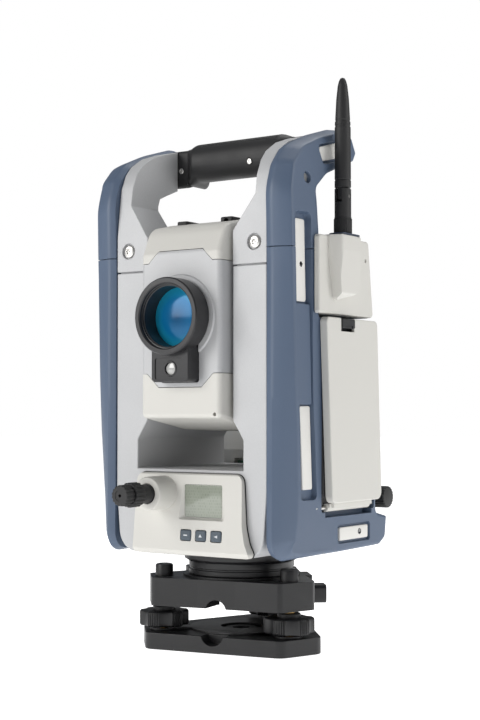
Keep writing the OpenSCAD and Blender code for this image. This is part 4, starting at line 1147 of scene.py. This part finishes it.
# %% Finishes of the carried-over nodes
INNER = {"vertical_shaft": STEEL, "horizontal_circle": CIRCLE, "door_hinge_pin": STEEL,
         "battery_pack": DARK,
         "display_module": DARK, "control_screen": SCREEN, "main_board": BOARD,
         "trunnion_bearings": STEEL,
         "drive_motors": COPPER}
for node, material in INNER.items():
    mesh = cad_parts[node].data
    mesh.materials.clear()
    mesh.materials.append(material)
print("carried over:", sorted(INNER))

# %% [markdown]
# ## Studio
# A pale floor under the instrument, a bright even surround, and three large soft lights: the key
# from high on the left, a weak fill from the right, and one overhead that draws the upper edges.

# %% Floor and lights
def softbox(name, where, target, size, power, colour=(1, 1, 1)):
    """Square area light at a place, aimed at a target."""
    light = bpy.data.lights.new(name, "AREA")
    light.energy, light.size, light.color = power, size, colour
    lamp = bpy.data.objects.new(name, light)
    lamp.location = where
    lamp.rotation_euler = (Vector(target) - Vector(where)).to_track_quat("-Z", "Y").to_euler()
    bpy.context.scene.collection.objects.link(lamp)
    return lamp


floor = stack("studio_floor", [place(disc(0, 0, 9000, 64), "z", -3.0),
                               place(disc(0, 0, 9000, 64), "z", 0.0)])
pale = finish_of("pale_floor", (0.90, 0.90, 0.90), 0.7, 200, 0.0, 0.01)
pale.node_tree.nodes["Principled BSDF"].inputs["Emission Color"].default_value = (1, 1, 1, 1)
pale.node_tree.nodes["Principled BSDF"].inputs["Emission Strength"].default_value = 0.92
floor.data.materials.append(pale)
world = bpy.data.worlds.new("studio")
bpy.context.scene.world = world
world.use_nodes = True
nodes, links = world.node_tree.nodes, world.node_tree.links
seen, lit = nodes["Background"], nodes.new("ShaderNodeBackground")
seen.inputs["Color"].default_value = (1.0, 1.0, 1.0, 1)
with_values(lit, Color=(0.95, 0.97, 1.0, 1), Strength=0.20)
path, both = nodes.new("ShaderNodeLightPath"), nodes.new("ShaderNodeMixShader")
links.new(path.outputs["Is Camera Ray"], both.inputs["Fac"])
links.new(lit.outputs[0], both.inputs[1])
links.new(seen.outputs[0], both.inputs[2])
links.new(both.outputs[0], nodes["World Output"].inputs["Surface"])
bpy.context.scene.view_settings.view_transform = "Standard"
MIDDLE = (0, 0, 0.22)
softbox("key_light", (-0.9, -1.65, 0.85), MIDDLE, 1.0, 19, (1.0, 0.99, 0.97))
softbox("side_light", (1.75, 0.75, 0.95), MIDDLE, 0.9, 11, (1.0, 0.99, 0.97))
softbox("top_light", (0.1, 0.5, 1.7), MIDDLE, 1.2, 13)

# %% [markdown]
# ## Camera
# The camera stands low, in front and to the right of the instrument, and looks up by two degrees.
# Its rotation comes from the viewing direction, and its lens gives the field of view.

# %% Camera
AZIMUTH, PITCH = math.radians(34.48), math.radians(2.07)
look = Vector((-math.sin(AZIMUTH) * math.cos(PITCH), math.cos(AZIMUTH) * math.cos(PITCH),
               math.sin(PITCH)))
camera = bpy.data.objects.new("camera", bpy.data.cameras.new("camera"))
camera.location = (0.62558, -0.91322, 0.17844)
camera.rotation_euler = look.to_track_quat("-Z", "Y").to_euler()
camera.data.lens = 71.32
camera.data.sensor_width = 36.0
camera.data.clip_end = 60
bpy.context.scene.collection.objects.link(camera)
bpy.context.scene.camera = camera
